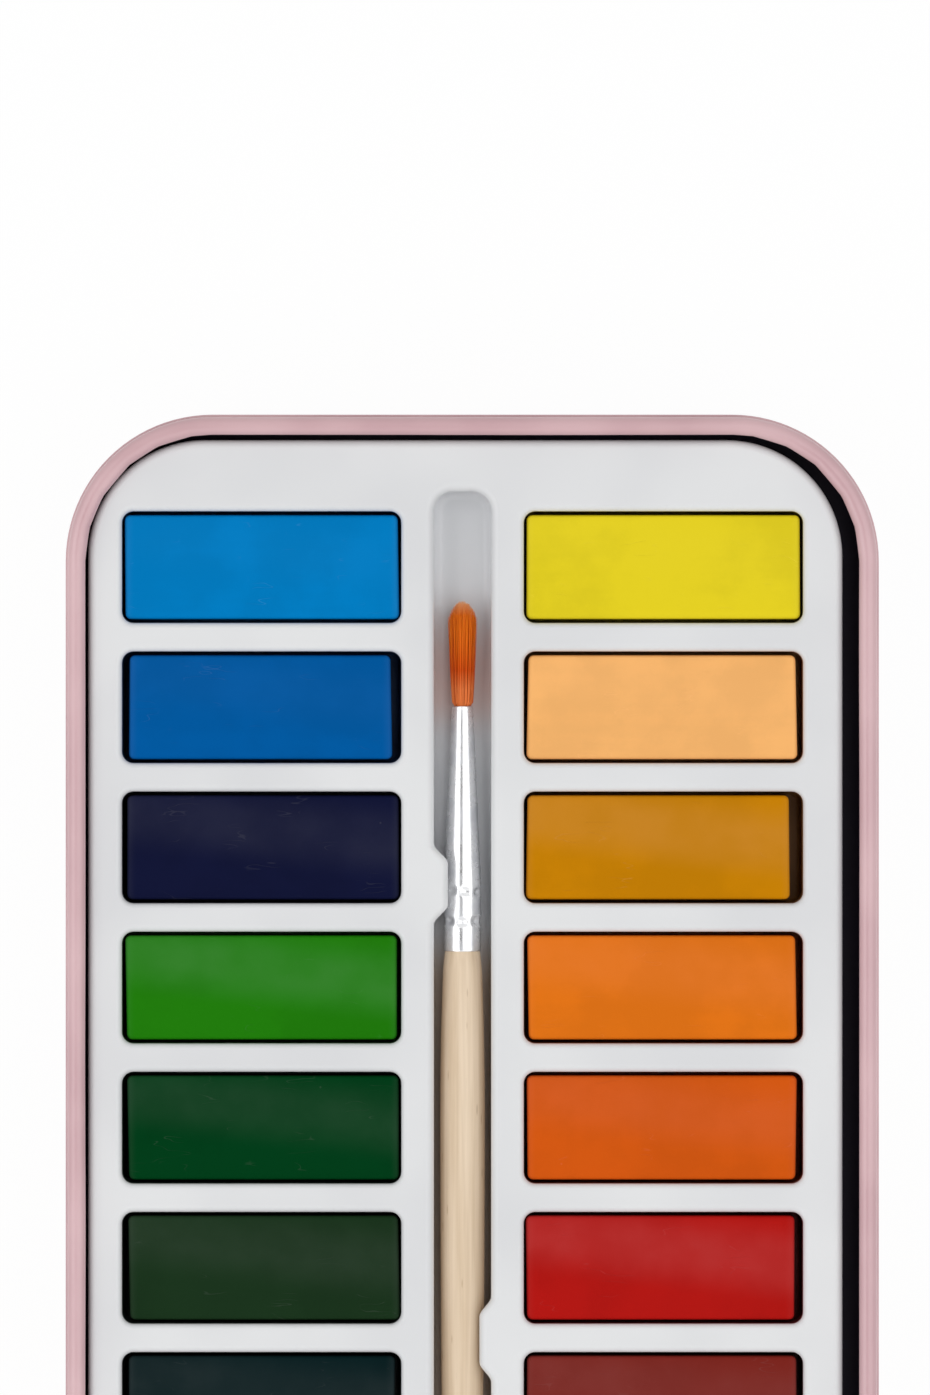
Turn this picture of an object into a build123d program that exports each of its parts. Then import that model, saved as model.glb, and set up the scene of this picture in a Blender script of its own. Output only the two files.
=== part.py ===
"""Watercolour paint set: a tin with a slip lid, a formed tray of loose paint cakes and a round brush.

Millimetres, +Z up, +Y along the tin towards the brush's hair. The origin is on the surface that the
set stands on, under the middle of the tin. The lid lies under the base, closed panel up.
"""

import math
import os

from build123d import *

# Tin: drawn sheet, its rim necked in for the lid and rolled inward into a bead
tin_width = 92.0
tin_length = 162.0
tin_corner = 16.6
sheet = 0.3
base_height = 13.0
neck_height = 6.6
edge_round = 1.5
bead_diameter = 2.0
curl_turn = 300.0
lid_fit = 0.12
lid_headroom = 0.4

# Tray: one formed sheet, pushed towards a corner of the tin
tray_sheet = 0.6
tray_play = 1.05
tray_push_x = -0.8
tray_push_y = 0.5
deck_drop = 1.6
tray_lip = 1.0
forming_shift = -0.3

# Wells: two columns of rows
well_rows = 9
well_length = 31.5
well_width = 12.6
well_depth = 7.8
well_corner = 1.3
well_lip = 0.7
well_draft = 1.0
well_end_margin = 8.03
column_pitch = 45.3

# Brush groove between the columns, with a holding nub on each wall
groove_width = 6.45
groove_depth = 6.3
groove_end_margin = 5.8
groove_corner = 2.2
groove_floor_round = 1.0
nub_length = 9.4
nub_slope = 1.5
nub_round = 0.8
nub_gap = 0.15
left_nub_back = 32.1
right_nub_back = 83.5

# Cakes: colour, how much shorter than its well's floor, and how far it is pushed, -1 to 1
cake_side_gap = 0.3
cake_drop = 0.7
cake_corner = 0.9
cake_top_round = 0.45
cake_foot_round = 0.3
cake_end_gap = 0.12
left_cakes = [
    ("sky_blue", 0.4, 0.2),
    ("cobalt_blue", 1.7, -0.2),
    ("indigo", 0.6, 0.9),
    ("leaf_green", 0.7, -0.1),
    ("dark_green", 0.7, 0.9),
    ("olive_green", 0.8, 1.0),
    ("prussian_teal", 1.3, 0.0),
    ("payne_grey", 0.9, 0.4),
    ("ivory_black", 0.6, -0.3),
]
right_cakes = [
    ("lemon_yellow", 0.4, -0.2),
    ("peach", 0.9, -0.5),
    ("ochre", 1.6, -0.9),
    ("orange", 1.0, -0.4),
    ("vermilion", 0.9, -0.6),
    ("scarlet", 1.0, -0.9),
    ("carmine", 0.8, -0.7),
    ("burnt_sienna", 1.1, 0.3),
    ("umber", 0.8, -0.5),
]

# Brush: every distance along it is measured back from the tip of the hair
brush_length = 125.0
hair_tip_margin = 12.3
brush_seat_gap = 0.1
hair_out = 11.9
ferrule_length = 27.7
ferrule_wall = 0.3
ferrule_mouth_radius = 1.2
ferrule_radius = 2.1
ferrule_collar = 7.8
crimp_backs = (32.8, 36.2)
crimp_radius = 0.4
crimp_depth = 0.15
belly_back = 58.0
belly_radius = 2.53
waist_back = 89.7
waist_radius = 2.35
butt_radius = 1.4
butt_round = 1.2
tenon_fit = 0.03

# Hair: strands in a triangular packing, all spread by the same amounts
plug_length = 3.0
plug_depth = 1.0
plug_fit = 0.04
strand_pitch = 0.084
strand_share = 0.41
strand_sides = 3
strand_root_sink = 0.1
tuft_root_radius = 0.84
tuft_flare_back = 10.9
tuft_flare = 1.34
tuft_belly_back = 4.6
tuft_belly = 1.66
tuft_tip = 1.25
tuft_dome = 1.9
strand_tip_share = 0.35

# Levels
lid_height = neck_height + lid_headroom + sheet
base_bottom = lid_height
base_floor = base_bottom + sheet
rim_top = base_bottom + base_height
shoulder = rim_top - neck_height
deck = rim_top - deck_drop
well_floor = deck - well_depth
groove_floor = deck - groove_depth

# Plan sizes that follow from the tin
bead_radius = bead_diameter / 2
neck_step = sheet + lid_fit
neck_width = tin_width - 2 * neck_step
neck_length = tin_length - 2 * neck_step
neck_corner = tin_corner - neck_step
tray_inset = neck_step + bead_diameter + tray_play
tray_width = tin_width - 2 * tray_inset
tray_length = tin_length - 2 * tray_inset
row_pitch = (tray_length - 2 * well_end_margin - well_width) / (well_rows - 1)
tray_corner = tin_corner - tray_inset
pattern_x = tray_push_x + forming_shift
groove_length = tray_length - 2 * groove_end_margin
groove_end = tray_push_y + groove_length / 2
well_floor_shrink = 2 * well_depth * math.tan(math.radians(well_draft))
well_floor_length = well_length - well_floor_shrink

# Places of the brush
hair_tip = groove_end - hair_tip_margin
ferrule_end_back = hair_out + ferrule_length
collar_back = ferrule_end_back - ferrule_collar
brush_plane = Plane(origin=(pattern_x, hair_tip, groove_floor + belly_radius + brush_seat_gap))
brush_axis = Axis(brush_plane.origin, (0, 1, 0))


def spread(back):
    """Give how far the hair has spread, times its radius at the root, at a distance behind the tip."""
    stations = [
        (0.0, tuft_tip),
        (tuft_belly_back, tuft_belly),
        (tuft_flare_back, tuft_flare),
        (hair_out, 1.0),
        (hair_out + plug_depth + strand_root_sink, 1.0),
    ]
    for (near, near_size), (far, far_size) in zip(stations, stations[1:]):
        if back <= far:
            return near_size + (far_size - near_size) * (back - near) / (far - near)
    return stations[-1][1]


def hair_spots():
    """List the strands' places in the root circle, in a triangular packing."""
    row_height = strand_pitch * math.sqrt(3) / 2
    reach = tuft_root_radius - strand_pitch * strand_share
    rows = int(reach / row_height)
    spots = []
    for row in range(-rows, rows + 1):
        stagger = strand_pitch / 2 if row % 2 else 0.0
        columns = int(2 * reach / strand_pitch) + 1
        for column in range(-columns, columns + 1):
            x, z = column * strand_pitch + stagger, row * row_height
            if math.hypot(x, z) <= reach:
                spots.append((x, z))
    return spots


def strand_corners(x, z, back, share):
    """List the corners of one strand's section across the brush at a distance behind the tip."""
    size = spread(back)
    centre = brush_plane.origin + Vector(x * size, -back, z * size)
    radius = strand_pitch * strand_share * size * share
    turns = [2 * math.pi * side / strand_sides for side in range(strand_sides)]
    return [centre + Vector(radius * math.cos(turn), 0, radius * math.sin(turn)) for turn in turns]


def strand(x, z):
    """Make one flat-sided strand from the plug, through the mouth, flare and belly, to its own tip."""
    tip_back = tuft_dome * (math.hypot(x, z) / tuft_root_radius) ** 2
    root_back = hair_out + plug_depth + strand_root_sink
    full = [root_back, hair_out, tuft_flare_back, tuft_belly_back]
    sections = [strand_corners(x, z, back, 1.0) for back in full]
    sections.append(strand_corners(x, z, tip_back, strand_tip_share))
    outlines = [sections[0], sections[-1]]
    for rear, front in zip(sections, sections[1:]):
        for side in range(strand_sides):
            beside = (side + 1) % strand_sides
            outlines.append([rear[side], rear[beside], front[beside], front[side]])
    return Solid(Shell([Face(Wire.make_polygon(outline, close=True)) for outline in outlines]))


def write(node, name):
    """Name a finished piece and write it to its own file."""
    node.part.label = name
    export_step(node.part, f"parts/{name}.step")


os.makedirs("parts", exist_ok=True)

# Lid: a shallow pan lying closed panel up, its open edge down
with BuildPart() as lid_hollow:
    with BuildSketch():
        RectangleRounded(tin_width - 2 * sheet, tin_length - 2 * sheet, tin_corner - sheet)
    extrude(amount=lid_height - sheet)
    fillet(lid_hollow.faces().sort_by(Axis.Z)[-1].edges(), edge_round - sheet)

with BuildPart() as lid_shell:
    with BuildSketch():
        RectangleRounded(tin_width, tin_length, tin_corner)
    extrude(amount=lid_height)
    fillet(lid_shell.faces().sort_by(Axis.Z)[-1].edges(), edge_round)
    add(lid_hollow.part, mode=Mode.SUBTRACT)
write(lid_shell, "lid_shell")

# Base: a pan with a shoulder that the closed lid stands on, and a neck that the lid slips over
with BuildPart() as base_hollow:
    with BuildSketch(Plane.XY.offset(base_floor)):
        RectangleRounded(tin_width - 2 * sheet, tin_length - 2 * sheet, tin_corner - sheet)
    extrude(amount=shoulder - sheet - base_floor)
    fillet(base_hollow.faces().sort_by(Axis.Z)[0].edges(), edge_round - sheet)
    with BuildSketch(Plane.XY.offset(shoulder - sheet)):
        RectangleRounded(neck_width - 2 * sheet, neck_length - 2 * sheet, neck_corner - sheet)
    extrude(amount=rim_top - shoulder + sheet)

with BuildSketch(Plane.XY.offset(rim_top - bead_radius)) as bead_route:
    RectangleRounded(neck_width - bead_diameter, neck_length - bead_diameter, neck_corner - bead_radius)
bead_path = bead_route.sketch.face().outer_wire()
bead_plane = Plane(origin=bead_path @ 0, x_dir=(bead_path % 0).cross(Vector(0, 0, 1)), z_dir=-(bead_path % 0))

with BuildPart() as base_shell:
    with BuildSketch(Plane.XY.offset(base_bottom)):
        RectangleRounded(tin_width, tin_length, tin_corner)
    extrude(amount=shoulder - base_bottom)
    fillet(base_shell.faces().sort_by(Axis.Z)[0].edges(), edge_round)
    with BuildSketch(Plane.XY.offset(shoulder)):
        RectangleRounded(neck_width, neck_length, neck_corner)
    extrude(amount=rim_top - bead_radius - shoulder)
    add(base_hollow.part, mode=Mode.SUBTRACT)
    with BuildSketch(bead_plane) as bead_section:
        with BuildLine():
            outside = CenterArc((0, 0), bead_radius, 0, curl_turn)
            inside = CenterArc((0, 0), bead_radius - sheet, 0, curl_turn)
            Line(outside @ 0, inside @ 0)
            Line(outside @ 1, inside @ 1)
        make_face()
    sweep(path=bead_path)
write(base_shell, "base_shell")

# Tray: a block with wells and a groove, hollowed from below to an even sheet
with BuildSketch(Plane.XY.offset(deck)) as well_outlines:
    with Locations((pattern_x, tray_push_y)):
        with GridLocations(column_pitch, row_pitch, 2, well_rows):
            RectangleRounded(well_length, well_width, well_corner)

with BuildSketch(Plane.XY.offset(deck)) as well_backs:
    with Locations((pattern_x, tray_push_y)):
        with GridLocations(column_pitch, row_pitch, 2, well_rows):
            RectangleRounded(
                well_length + 2 * tray_sheet, well_width + 2 * tray_sheet, well_corner + tray_sheet
            )

left_nub_reach = groove_width / 2 - ferrule_radius - nub_gap
right_nub_reach = groove_width / 2 - belly_radius - nub_gap
with BuildSketch(Plane.XY.offset(deck)) as groove_outline:
    with Locations((pattern_x, tray_push_y)):
        RectangleRounded(groove_width, groove_length, groove_corner)
    for side, back, reach in ((-1, left_nub_back, left_nub_reach), (1, right_nub_back, right_nub_reach)):
        wall_x = pattern_x + side * groove_width / 2
        nub_y = hair_tip - back
        tip_x = wall_x - side * reach
        foot, top = nub_length / 2, nub_length / 2 - nub_slope
        Polygon(
            (wall_x, nub_y - foot),
            (tip_x, nub_y - top),
            (tip_x, nub_y + top),
            (wall_x, nub_y + foot),
            align=None,
            mode=Mode.SUBTRACT,
        )
        nub_corners = groove_outline.vertices().filter_by_position(Axis.Y, nub_y - foot, nub_y + foot)
        fillet(nub_corners, nub_round)

with BuildPart() as groove_cut:
    extrude(groove_outline.sketch, amount=groove_depth, dir=(0, 0, -1))
    fillet(groove_cut.faces().sort_by(Axis.Z)[0].edges(), groove_floor_round)

with BuildSketch(Plane.XY.offset(deck)) as groove_back_outline:
    add(groove_outline.sketch_local)
    offset(amount=tray_sheet)

with BuildPart() as groove_back:
    extrude(groove_back_outline.sketch, amount=groove_depth + tray_sheet, dir=(0, 0, -1))
    fillet(groove_back.faces().sort_by(Axis.Z)[0].edges(), groove_floor_round + tray_sheet)

with BuildPart() as tray_hollow:
    with BuildSketch(Plane.XY.offset(base_floor)):
        with Locations((tray_push_x, tray_push_y)):
            RectangleRounded(
                tray_width - 2 * tray_sheet, tray_length - 2 * tray_sheet, tray_corner - tray_sheet
            )
    extrude(amount=deck - tray_sheet - base_floor)
    well_backs_depth = well_depth + tray_sheet
    extrude(well_backs.sketch, amount=well_backs_depth, dir=(0, 0, -1), taper=well_draft, mode=Mode.SUBTRACT)
    add(groove_back.part, mode=Mode.SUBTRACT)

with BuildPart() as tray:
    with BuildSketch(Plane.XY.offset(base_floor)):
        with Locations((tray_push_x, tray_push_y)):
            RectangleRounded(tray_width, tray_length, tray_corner)
    extrude(amount=deck - base_floor)
    fillet(tray.faces().sort_by(Axis.Z)[-1].edges(), tray_lip)
    extrude(well_outlines.sketch, amount=well_depth, dir=(0, 0, -1), taper=well_draft, mode=Mode.SUBTRACT)
    add(groove_cut.part, mode=Mode.SUBTRACT)
    fillet(tray.faces().sort_by(Axis.Z)[-1].inner_wires().edges(), well_lip)
    add(tray_hollow.part, mode=Mode.SUBTRACT)
write(tray, "tray")

# Cakes: loose blocks standing on their wells' floors
cake_width = well_width - well_floor_shrink - 2 * cake_side_gap
for side, cakes in ((-1, left_cakes), (1, right_cakes)):
    for row, (colour, shortfall, push) in enumerate(cakes):
        length = well_floor_length - shortfall
        shift = push * (shortfall / 2 - cake_end_gap)
        cake_x = pattern_x + side * column_pitch / 2 + shift
        cake_y = tray_push_y + ((well_rows - 1) / 2 - row) * row_pitch
        with BuildPart() as cake:
            with BuildSketch(Plane((cake_x, cake_y, well_floor))):
                RectangleRounded(length, cake_width, cake_corner)
            extrude(amount=well_depth - cake_drop)
            fillet(cake.faces().sort_by(Axis.Z)[-1].edges(), cake_top_round)
            fillet(cake.faces().sort_by(Axis.Z)[0].edges(), cake_foot_round)
        write(cake, f"cake_{colour}")

# Brush handle: turned wood with a tenon that the ferrule is crimped on
tenon_radius = ferrule_radius - ferrule_wall - tenon_fit
with BuildPart() as brush_handle:
    with BuildSketch(brush_plane):
        with BuildLine():
            tenon_top = Line((0, -collar_back), (tenon_radius, -collar_back))
            tenon_side = Line(tenon_top @ 1, (tenon_radius, -ferrule_end_back))
            seat = Line(tenon_side @ 1, (ferrule_radius, -ferrule_end_back))
            TangentArc((belly_radius, -belly_back), seat @ 1, tangent=(0, 1))
            belly = TangentArc((belly_radius, -belly_back), (waist_radius, -waist_back), tangent=(0, -1))
            taper = TangentArc(belly @ 1, (butt_radius, -brush_length), tangent=belly % 1)
            butt = Line(taper @ 1, (0, -brush_length))
            Line(butt @ 1, tenon_top @ 0)
        handle_profile = make_face()
        fillet(handle_profile.vertices().sort_by_distance(taper @ 1)[0], butt_round)
    revolve(axis=brush_axis)
write(brush_handle, "brush_handle")

# Ferrule: a cone and a collar of thin tube, with two crimp rings pressed into the collar
mouth_bore = ferrule_mouth_radius - ferrule_wall
collar_bore = ferrule_radius - ferrule_wall
with BuildPart() as brush_ferrule:
    with BuildSketch(brush_plane):
        Polygon(
            (mouth_bore, -hair_out),
            (ferrule_mouth_radius, -hair_out),
            (ferrule_radius, -collar_back),
            (ferrule_radius, -ferrule_end_back),
            (collar_bore, -ferrule_end_back),
            (collar_bore, -collar_back),
            align=None,
        )
        with Locations([(ferrule_radius + crimp_radius - crimp_depth, -back) for back in crimp_backs]):
            Circle(crimp_radius, mode=Mode.SUBTRACT)
    revolve(axis=brush_axis)
write(brush_ferrule, "brush_ferrule")

# Hair: a glued plug inside the ferrule, and the strands that stand on it
bore_slope = (collar_bore - mouth_bore) / (collar_back - hair_out)
plug_front_radius = mouth_bore + bore_slope * plug_depth - plug_fit
plug_back_radius = mouth_bore + bore_slope * (plug_depth + plug_length) - plug_fit
with BuildPart() as brush_bristles:
    with BuildSketch(brush_plane):
        Polygon(
            (0, -hair_out - plug_depth),
            (plug_front_radius, -hair_out - plug_depth),
            (plug_back_radius, -hair_out - plug_depth - plug_length),
            (0, -hair_out - plug_depth - plug_length),
            align=None,
        )
    revolve(axis=brush_axis)
    strands = [strand(x, z) for x, z in hair_spots()]
    add(strands, clean=False)
print("strands", len(strands))
write(brush_bristles, "brush_bristles")
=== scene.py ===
"""Watercolour paint set: a pink tin, a formed white tray, eighteen loose paint cakes and a brush.

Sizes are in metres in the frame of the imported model: x across the tin, y along it towards the
hair of the brush, z up. The tin's lid lies under its base, closed panel up.
"""

import logging
import math
import random
from collections.abc import Callable, Iterator
from dataclasses import dataclass, field
from enum import Enum
from typing import Any

import bmesh
import bpy
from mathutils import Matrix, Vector, noise


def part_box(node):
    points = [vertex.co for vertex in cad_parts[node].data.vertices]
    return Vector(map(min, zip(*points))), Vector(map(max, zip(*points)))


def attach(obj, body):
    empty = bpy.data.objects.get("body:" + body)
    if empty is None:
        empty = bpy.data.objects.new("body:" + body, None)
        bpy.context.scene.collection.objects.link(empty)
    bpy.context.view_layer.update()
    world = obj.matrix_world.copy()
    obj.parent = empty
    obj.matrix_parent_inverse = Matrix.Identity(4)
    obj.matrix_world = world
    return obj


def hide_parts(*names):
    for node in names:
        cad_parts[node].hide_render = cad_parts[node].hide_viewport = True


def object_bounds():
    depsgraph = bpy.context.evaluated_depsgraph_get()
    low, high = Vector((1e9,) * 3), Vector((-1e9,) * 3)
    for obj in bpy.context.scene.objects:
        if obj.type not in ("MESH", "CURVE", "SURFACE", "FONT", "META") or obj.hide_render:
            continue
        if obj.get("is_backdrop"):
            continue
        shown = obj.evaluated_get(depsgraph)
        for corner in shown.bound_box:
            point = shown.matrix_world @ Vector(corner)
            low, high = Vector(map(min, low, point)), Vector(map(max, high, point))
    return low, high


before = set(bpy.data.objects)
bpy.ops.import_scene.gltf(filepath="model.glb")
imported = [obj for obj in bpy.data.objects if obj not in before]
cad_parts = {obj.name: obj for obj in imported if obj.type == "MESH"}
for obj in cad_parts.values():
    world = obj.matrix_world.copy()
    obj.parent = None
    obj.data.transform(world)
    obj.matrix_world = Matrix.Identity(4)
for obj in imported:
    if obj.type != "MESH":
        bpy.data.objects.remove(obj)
cad_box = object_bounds()

log = logging.getLogger("paint_set")

MM = 0.001
# Places nearer to each other than this count as the same.
SLACK = 0.01 * MM
# A direction with less than this along an axis is square to it.
SQUARE = 1e-4
# A face counts as level where its normal has more than this along z.
LEVEL = 0.99

Colour = tuple[float, float, float, float]
# Where something starts, and where it ends or is full.
Span = tuple[float, float]
Pair = tuple[float, float]
Triple = tuple[float, float, float]
# Heights, or places along the brush, each with a growth or a radius.
Section = list[Pair]
Piece = bpy.types.Object
Finish = bpy.types.Material
Rule = Callable[[Vector, Vector], bool]

WHITE: Colour = (1.0, 1.0, 1.0, 1.0)
# Where soft noise starts to count as a patch, and where the patch is full.
SOFT: Span = (0.3, 0.7)
FIRM: Span = (0.35, 0.65)
# How many finer layers noise has.
PLAIN = 2.0
FINE = 4.0


def shown(red: float, green: float, blue: float) -> Colour:
    """Turn a colour as a screen shows it into the linear one that shaders take.

    Args:
        red: Red, 0 to 255.
        green: Green, 0 to 255.
        blue: Blue, 0 to 255.

    Returns:
        The linear colour with an alpha of 1.
    """
    parts = [value / 255.0 for value in (red, green, blue)]
    line = [p / 12.92 if p <= 0.04045 else ((p + 0.055) / 1.055) ** 2.4 for p in parts]
    return (line[0], line[1], line[2], 1.0)


def toned(colour: Colour, share: float, lift: float = 0.0) -> Colour:
    """Darken a colour, or lighten it where the share is over 1.

    Args:
        colour: The linear colour.
        share: What every channel is multiplied by.
        lift: What is then added to every channel.

    Returns:
        The toned colour, no channel over 1.
    """
    return tuple(min(1.0, part * share + lift) for part in colour[:3]) + (1.0,)


def smoothstep(value: float) -> float:
    """Ease a value from 0 to 1, held at both ends."""
    held = min(1.0, max(0.0, value))
    return held * held * (3.0 - 2.0 * held)


def arc(degrees: float, steps: int, first: int = 0) -> Iterator[Pair]:
    """Walk round an arc of a circle of radius 1.

    Args:
        degrees: How far the arc turns.
        steps: How many edges it has.
        first: The number of the point to start at.

    Yields:
        How far a point lies along the line on which the arc sets out, and how far off it.
    """
    for step in range(first, steps + 1):
        turn = math.radians(degrees * step / steps)
        yield math.sin(turn), 1.0 - math.cos(turn)


class Side(Enum):
    """A side of the brush's groove as the camera sees it."""

    LEFT = "left"
    RIGHT = "right"


class Element(Enum):
    """What is selected on an open piece."""

    FACE = "face"
    EDGE = "edge"


@dataclass(frozen=True)
class Paint:
    """A cake's colour and how strong the pale band of painted sheen on it is."""

    colour: Colour
    painted_sheen: float = 0.5


@dataclass(frozen=True)
class Nub:
    """A nub on a wall of the groove: its middle, half its length, its reach on top and below."""

    middle: float
    half: float
    reach: float
    foot: float


@dataclass(frozen=True)
class SoftBox:
    """A soft box: its lean to the left in degrees, its width and how bright its face is."""

    name: str
    lean: float
    width: float
    level: float


@dataclass(frozen=True)
class Plan:
    """A rounded rectangle seen from above."""

    x: float
    y: float
    width: float
    length: float
    corner: float

    @classmethod
    def of(cls, low: Vector, high: Vector, corner: float) -> "Plan":
        """Take the plan of a box."""
        middle = (low.x + high.x) / 2, (low.y + high.y) / 2
        return cls(*middle, high.x - low.x, high.y - low.y, corner)

    def grown(self, amount: float) -> "Plan":
        """Give the plan grown all round, or shrunk where the amount is negative."""
        size = self.width + 2 * amount, self.length + 2 * amount
        return Plan(self.x, self.y, *size, self.corner + amount)

    def core(self, place: Vector) -> Vector:
        """Find the nearest point of the rectangle that joins the corners' centres.

        Args:
            place: Any place.

        Returns:
            That point, at the height of the place.
        """
        reach_x = self.width / 2 - self.corner
        reach_y = self.length / 2 - self.corner
        x = min(max(place.x - self.x, -reach_x), reach_x) + self.x
        y = min(max(place.y - self.y, -reach_y), reach_y) + self.y
        return Vector((x, y, place.z))

    def outward(self, place: Vector) -> Vector:
        """Give the direction that leads straight out of the plan."""
        return (place - self.core(place)).normalized()

    def inside(self, place: Vector) -> float:
        """Give how far a place near the outline lies inside it."""
        return self.corner - (place - self.core(place)).length

    def moved(self, place: Vector, growth: float, height: float) -> Vector:
        """Move a place straight out of the plan and set its height."""
        out = self.outward(place)
        return Vector((place.x + out.x * growth, place.y + out.y * growth, height))


class Signal:
    """One output of a node tree, on which Python's operators add Math nodes."""

    def __init__(self, sheet: "NodeSheet", socket: bpy.types.NodeSocket) -> None:
        """Wrap a socket of a sheet's node tree."""
        self.sheet = sheet
        self.socket = socket

    def __add__(self, other: "Signal | float") -> "Signal":
        """Add two values."""
        return self.sheet.math("ADD", self, other)

    def __sub__(self, other: "Signal | float") -> "Signal":
        """Subtract a value from this one."""
        return self.sheet.math("SUBTRACT", self, other)

    def __rsub__(self, other: float) -> "Signal":
        """Subtract this value from a number."""
        return self.sheet.math("SUBTRACT", other, self)

    def __mul__(self, other: "Signal | float") -> "Signal":
        """Multiply two values."""
        return self.sheet.math("MULTIPLY", self, other)

    def __abs__(self) -> "Signal":
        """Drop this value's sign."""
        return self.sheet.math("ABSOLUTE", self)

    __radd__ = __add__
    __rmul__ = __mul__

    def beside(self, output: str) -> "Signal":
        """Give another output of the same node."""
        return Signal(self.sheet, self.socket.node.outputs[output])


class NodeSheet:
    """A node tree of a material or a world, with one method that adds any node."""

    def __init__(self, owner: Finish | bpy.types.World) -> None:
        """Clear the owner's node tree and keep it.

        Args:
            owner: The material or the world.
        """
        owner.use_nodes = True
        self.owner = owner
        self.tree = owner.node_tree
        self.tree.nodes.clear()

    @classmethod
    def fresh(cls, name: str) -> "NodeSheet":
        """Open the sheet of a new material."""
        return cls(bpy.data.materials.new(name))

    def node(
        self,
        kind: str,
        settings: dict[str, Any] | None = None,
        inputs: dict[str | int, Any] | None = None,
        output: str | int = 0,
    ) -> Signal | None:
        """Add a node of any kind.

        Args:
            kind: The node's type.
            settings: The node's own settings; "stops" fills a colour ramp.
            inputs: Values or signals by the sockets' names or numbers.
            output: The socket that is handed back.

        Returns:
            The chosen output, or None where the node has none.
        """
        made = self.tree.nodes.new(kind)
        for name, setting in (settings or {}).items():
            if name == "stops":
                ramp = made.color_ramp.elements
                while len(ramp) < len(setting):
                    ramp.new(0.5)
                for stop, (position, colour) in zip(ramp, setting):
                    stop.position, stop.color = position, colour
            else:
                setattr(made, name, setting)
        for name, given in (inputs or {}).items():
            if isinstance(given, Signal):
                self.tree.links.new(given.socket, made.inputs[name])
            else:
                made.inputs[name].default_value = given
        return Signal(self, made.outputs[output]) if len(made.outputs) else None

    def math(self, operation: str, *values: Signal | float) -> Signal:
        """Add a Math node on its values."""
        return self.node("ShaderNodeMath", {"operation": operation}, dict(enumerate(values)))

    def place(self) -> Signal:
        """Give the place on the piece in metres."""
        return self.node("ShaderNodeTexCoord", output="Object")

    def axis(self, name: str) -> Signal:
        """Give one coordinate of the place in metres."""
        return self.node("ShaderNodeSeparateXYZ", None, {0: self.place()}, name)

    def attribute(self, name: str) -> Signal:
        """Read a colour that is noted on the piece's vertices."""
        return self.node("ShaderNodeAttribute", {"attribute_name": name}, None, "Color")

    def part(self, colour: Signal, name: str) -> Signal:
        """Give the red, the green or the blue of a colour."""
        return self.node("ShaderNodeSeparateColor", None, {0: colour}, name)

    def stretched(self, scale: Triple, turn: float = 0.0) -> Signal:
        """Give the place with its axes drawn out and turned in plan.

        Args:
            scale: What every axis is multiplied by.
            turn: The turn in degrees.

        Returns:
            The changed place.
        """
        rotation = (0.0, 0.0, math.radians(turn))
        inputs = {"Vector": self.place(), "Scale": scale, "Rotation": rotation}
        return self.node("ShaderNodeMapping", None, inputs)

    def grain(self, size: float, place: Signal | None = None, detail: float = PLAIN) -> Signal:
        """Give noise with features of a size.

        Args:
            size: The features' size in metres.
            place: The place to read it at, the piece's own where left out.
            detail: How many finer layers are added.

        Returns:
            A value round 0.5.
        """
        inputs = {"Vector": place or self.place(), "Scale": 1.0 / size, "Detail": detail}
        return self.node("ShaderNodeTexNoise", None, inputs)

    def patches(
        self, size: float, span: Span = SOFT, place: Signal | None = None, detail: float = PLAIN
    ) -> Signal:
        """Give patches with soft edges.

        Args:
            size: The patches' size in metres.
            span: The noise at which a patch starts and at which it is full.
            place: The place to read them at, the piece's own where left out.
            detail: How many finer layers are added.

        Returns:
            A value of 0 outside the patches and 1 in them.
        """
        return self.between(self.grain(size, place, detail), span)

    def spots(self, spacing: float, lot: Span, edge: Span, place: Signal | None = None) -> Signal:
        """Scatter round spots.

        Args:
            spacing: How far apart the places for a spot lie, in metres.
            lot: The lot from 0 to 1 that a place must draw for a faint spot and for a full one.
            edge: Where a spot starts and stops to fade, in spacings from its middle.
            place: The place to read them at, the piece's own where left out.

        Returns:
            A value of 1 in the spots and 0 between them.
        """
        inputs = {"Vector": place or self.place(), "Scale": 1.0 / spacing}
        distance = self.node("ShaderNodeTexVoronoi", None, inputs, "Distance")
        drawn = self.part(distance.beside("Color"), "Red")
        return self.between(drawn, lot) * (1.0 - self.between(distance, edge))

    def between(self, value: Signal, span: Span) -> Signal:
        """Ease from 0 at a span's start to 1 at its end."""
        inputs = {"Value": value, "From Min": span[0], "From Max": span[1]}
        return self.node("ShaderNodeMapRange", {"interpolation_type": "SMOOTHSTEP"}, inputs)

    def blend(self, share: Signal | float, first: Any, second: Any) -> Signal:
        """Mix two colours, all of the second where the share is 1."""
        return self.node("ShaderNodeMix", {"data_type": "RGBA"}, {0: share, 6: first, 7: second}, 2)

    def relief(self, height: Signal, depth: float) -> Signal:
        """Turn a height of 0 to 1 into a bump of a depth in metres."""
        return self.node("ShaderNodeBump", None, {"Height": height, "Distance": depth})

    def surface(self, **inputs: Any) -> Finish:
        """Finish a material with the plain surface shader.

        Args:
            **inputs: The shader's sockets, underscores for the spaces in their names.

        Returns:
            The finished material.
        """
        named = {name.replace("_", " "): given for name, given in inputs.items()}
        shader = self.node("ShaderNodeBsdfPrincipled", None, named)
        self.node("ShaderNodeOutputMaterial", None, {"Surface": shader})
        return self.owner


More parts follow.
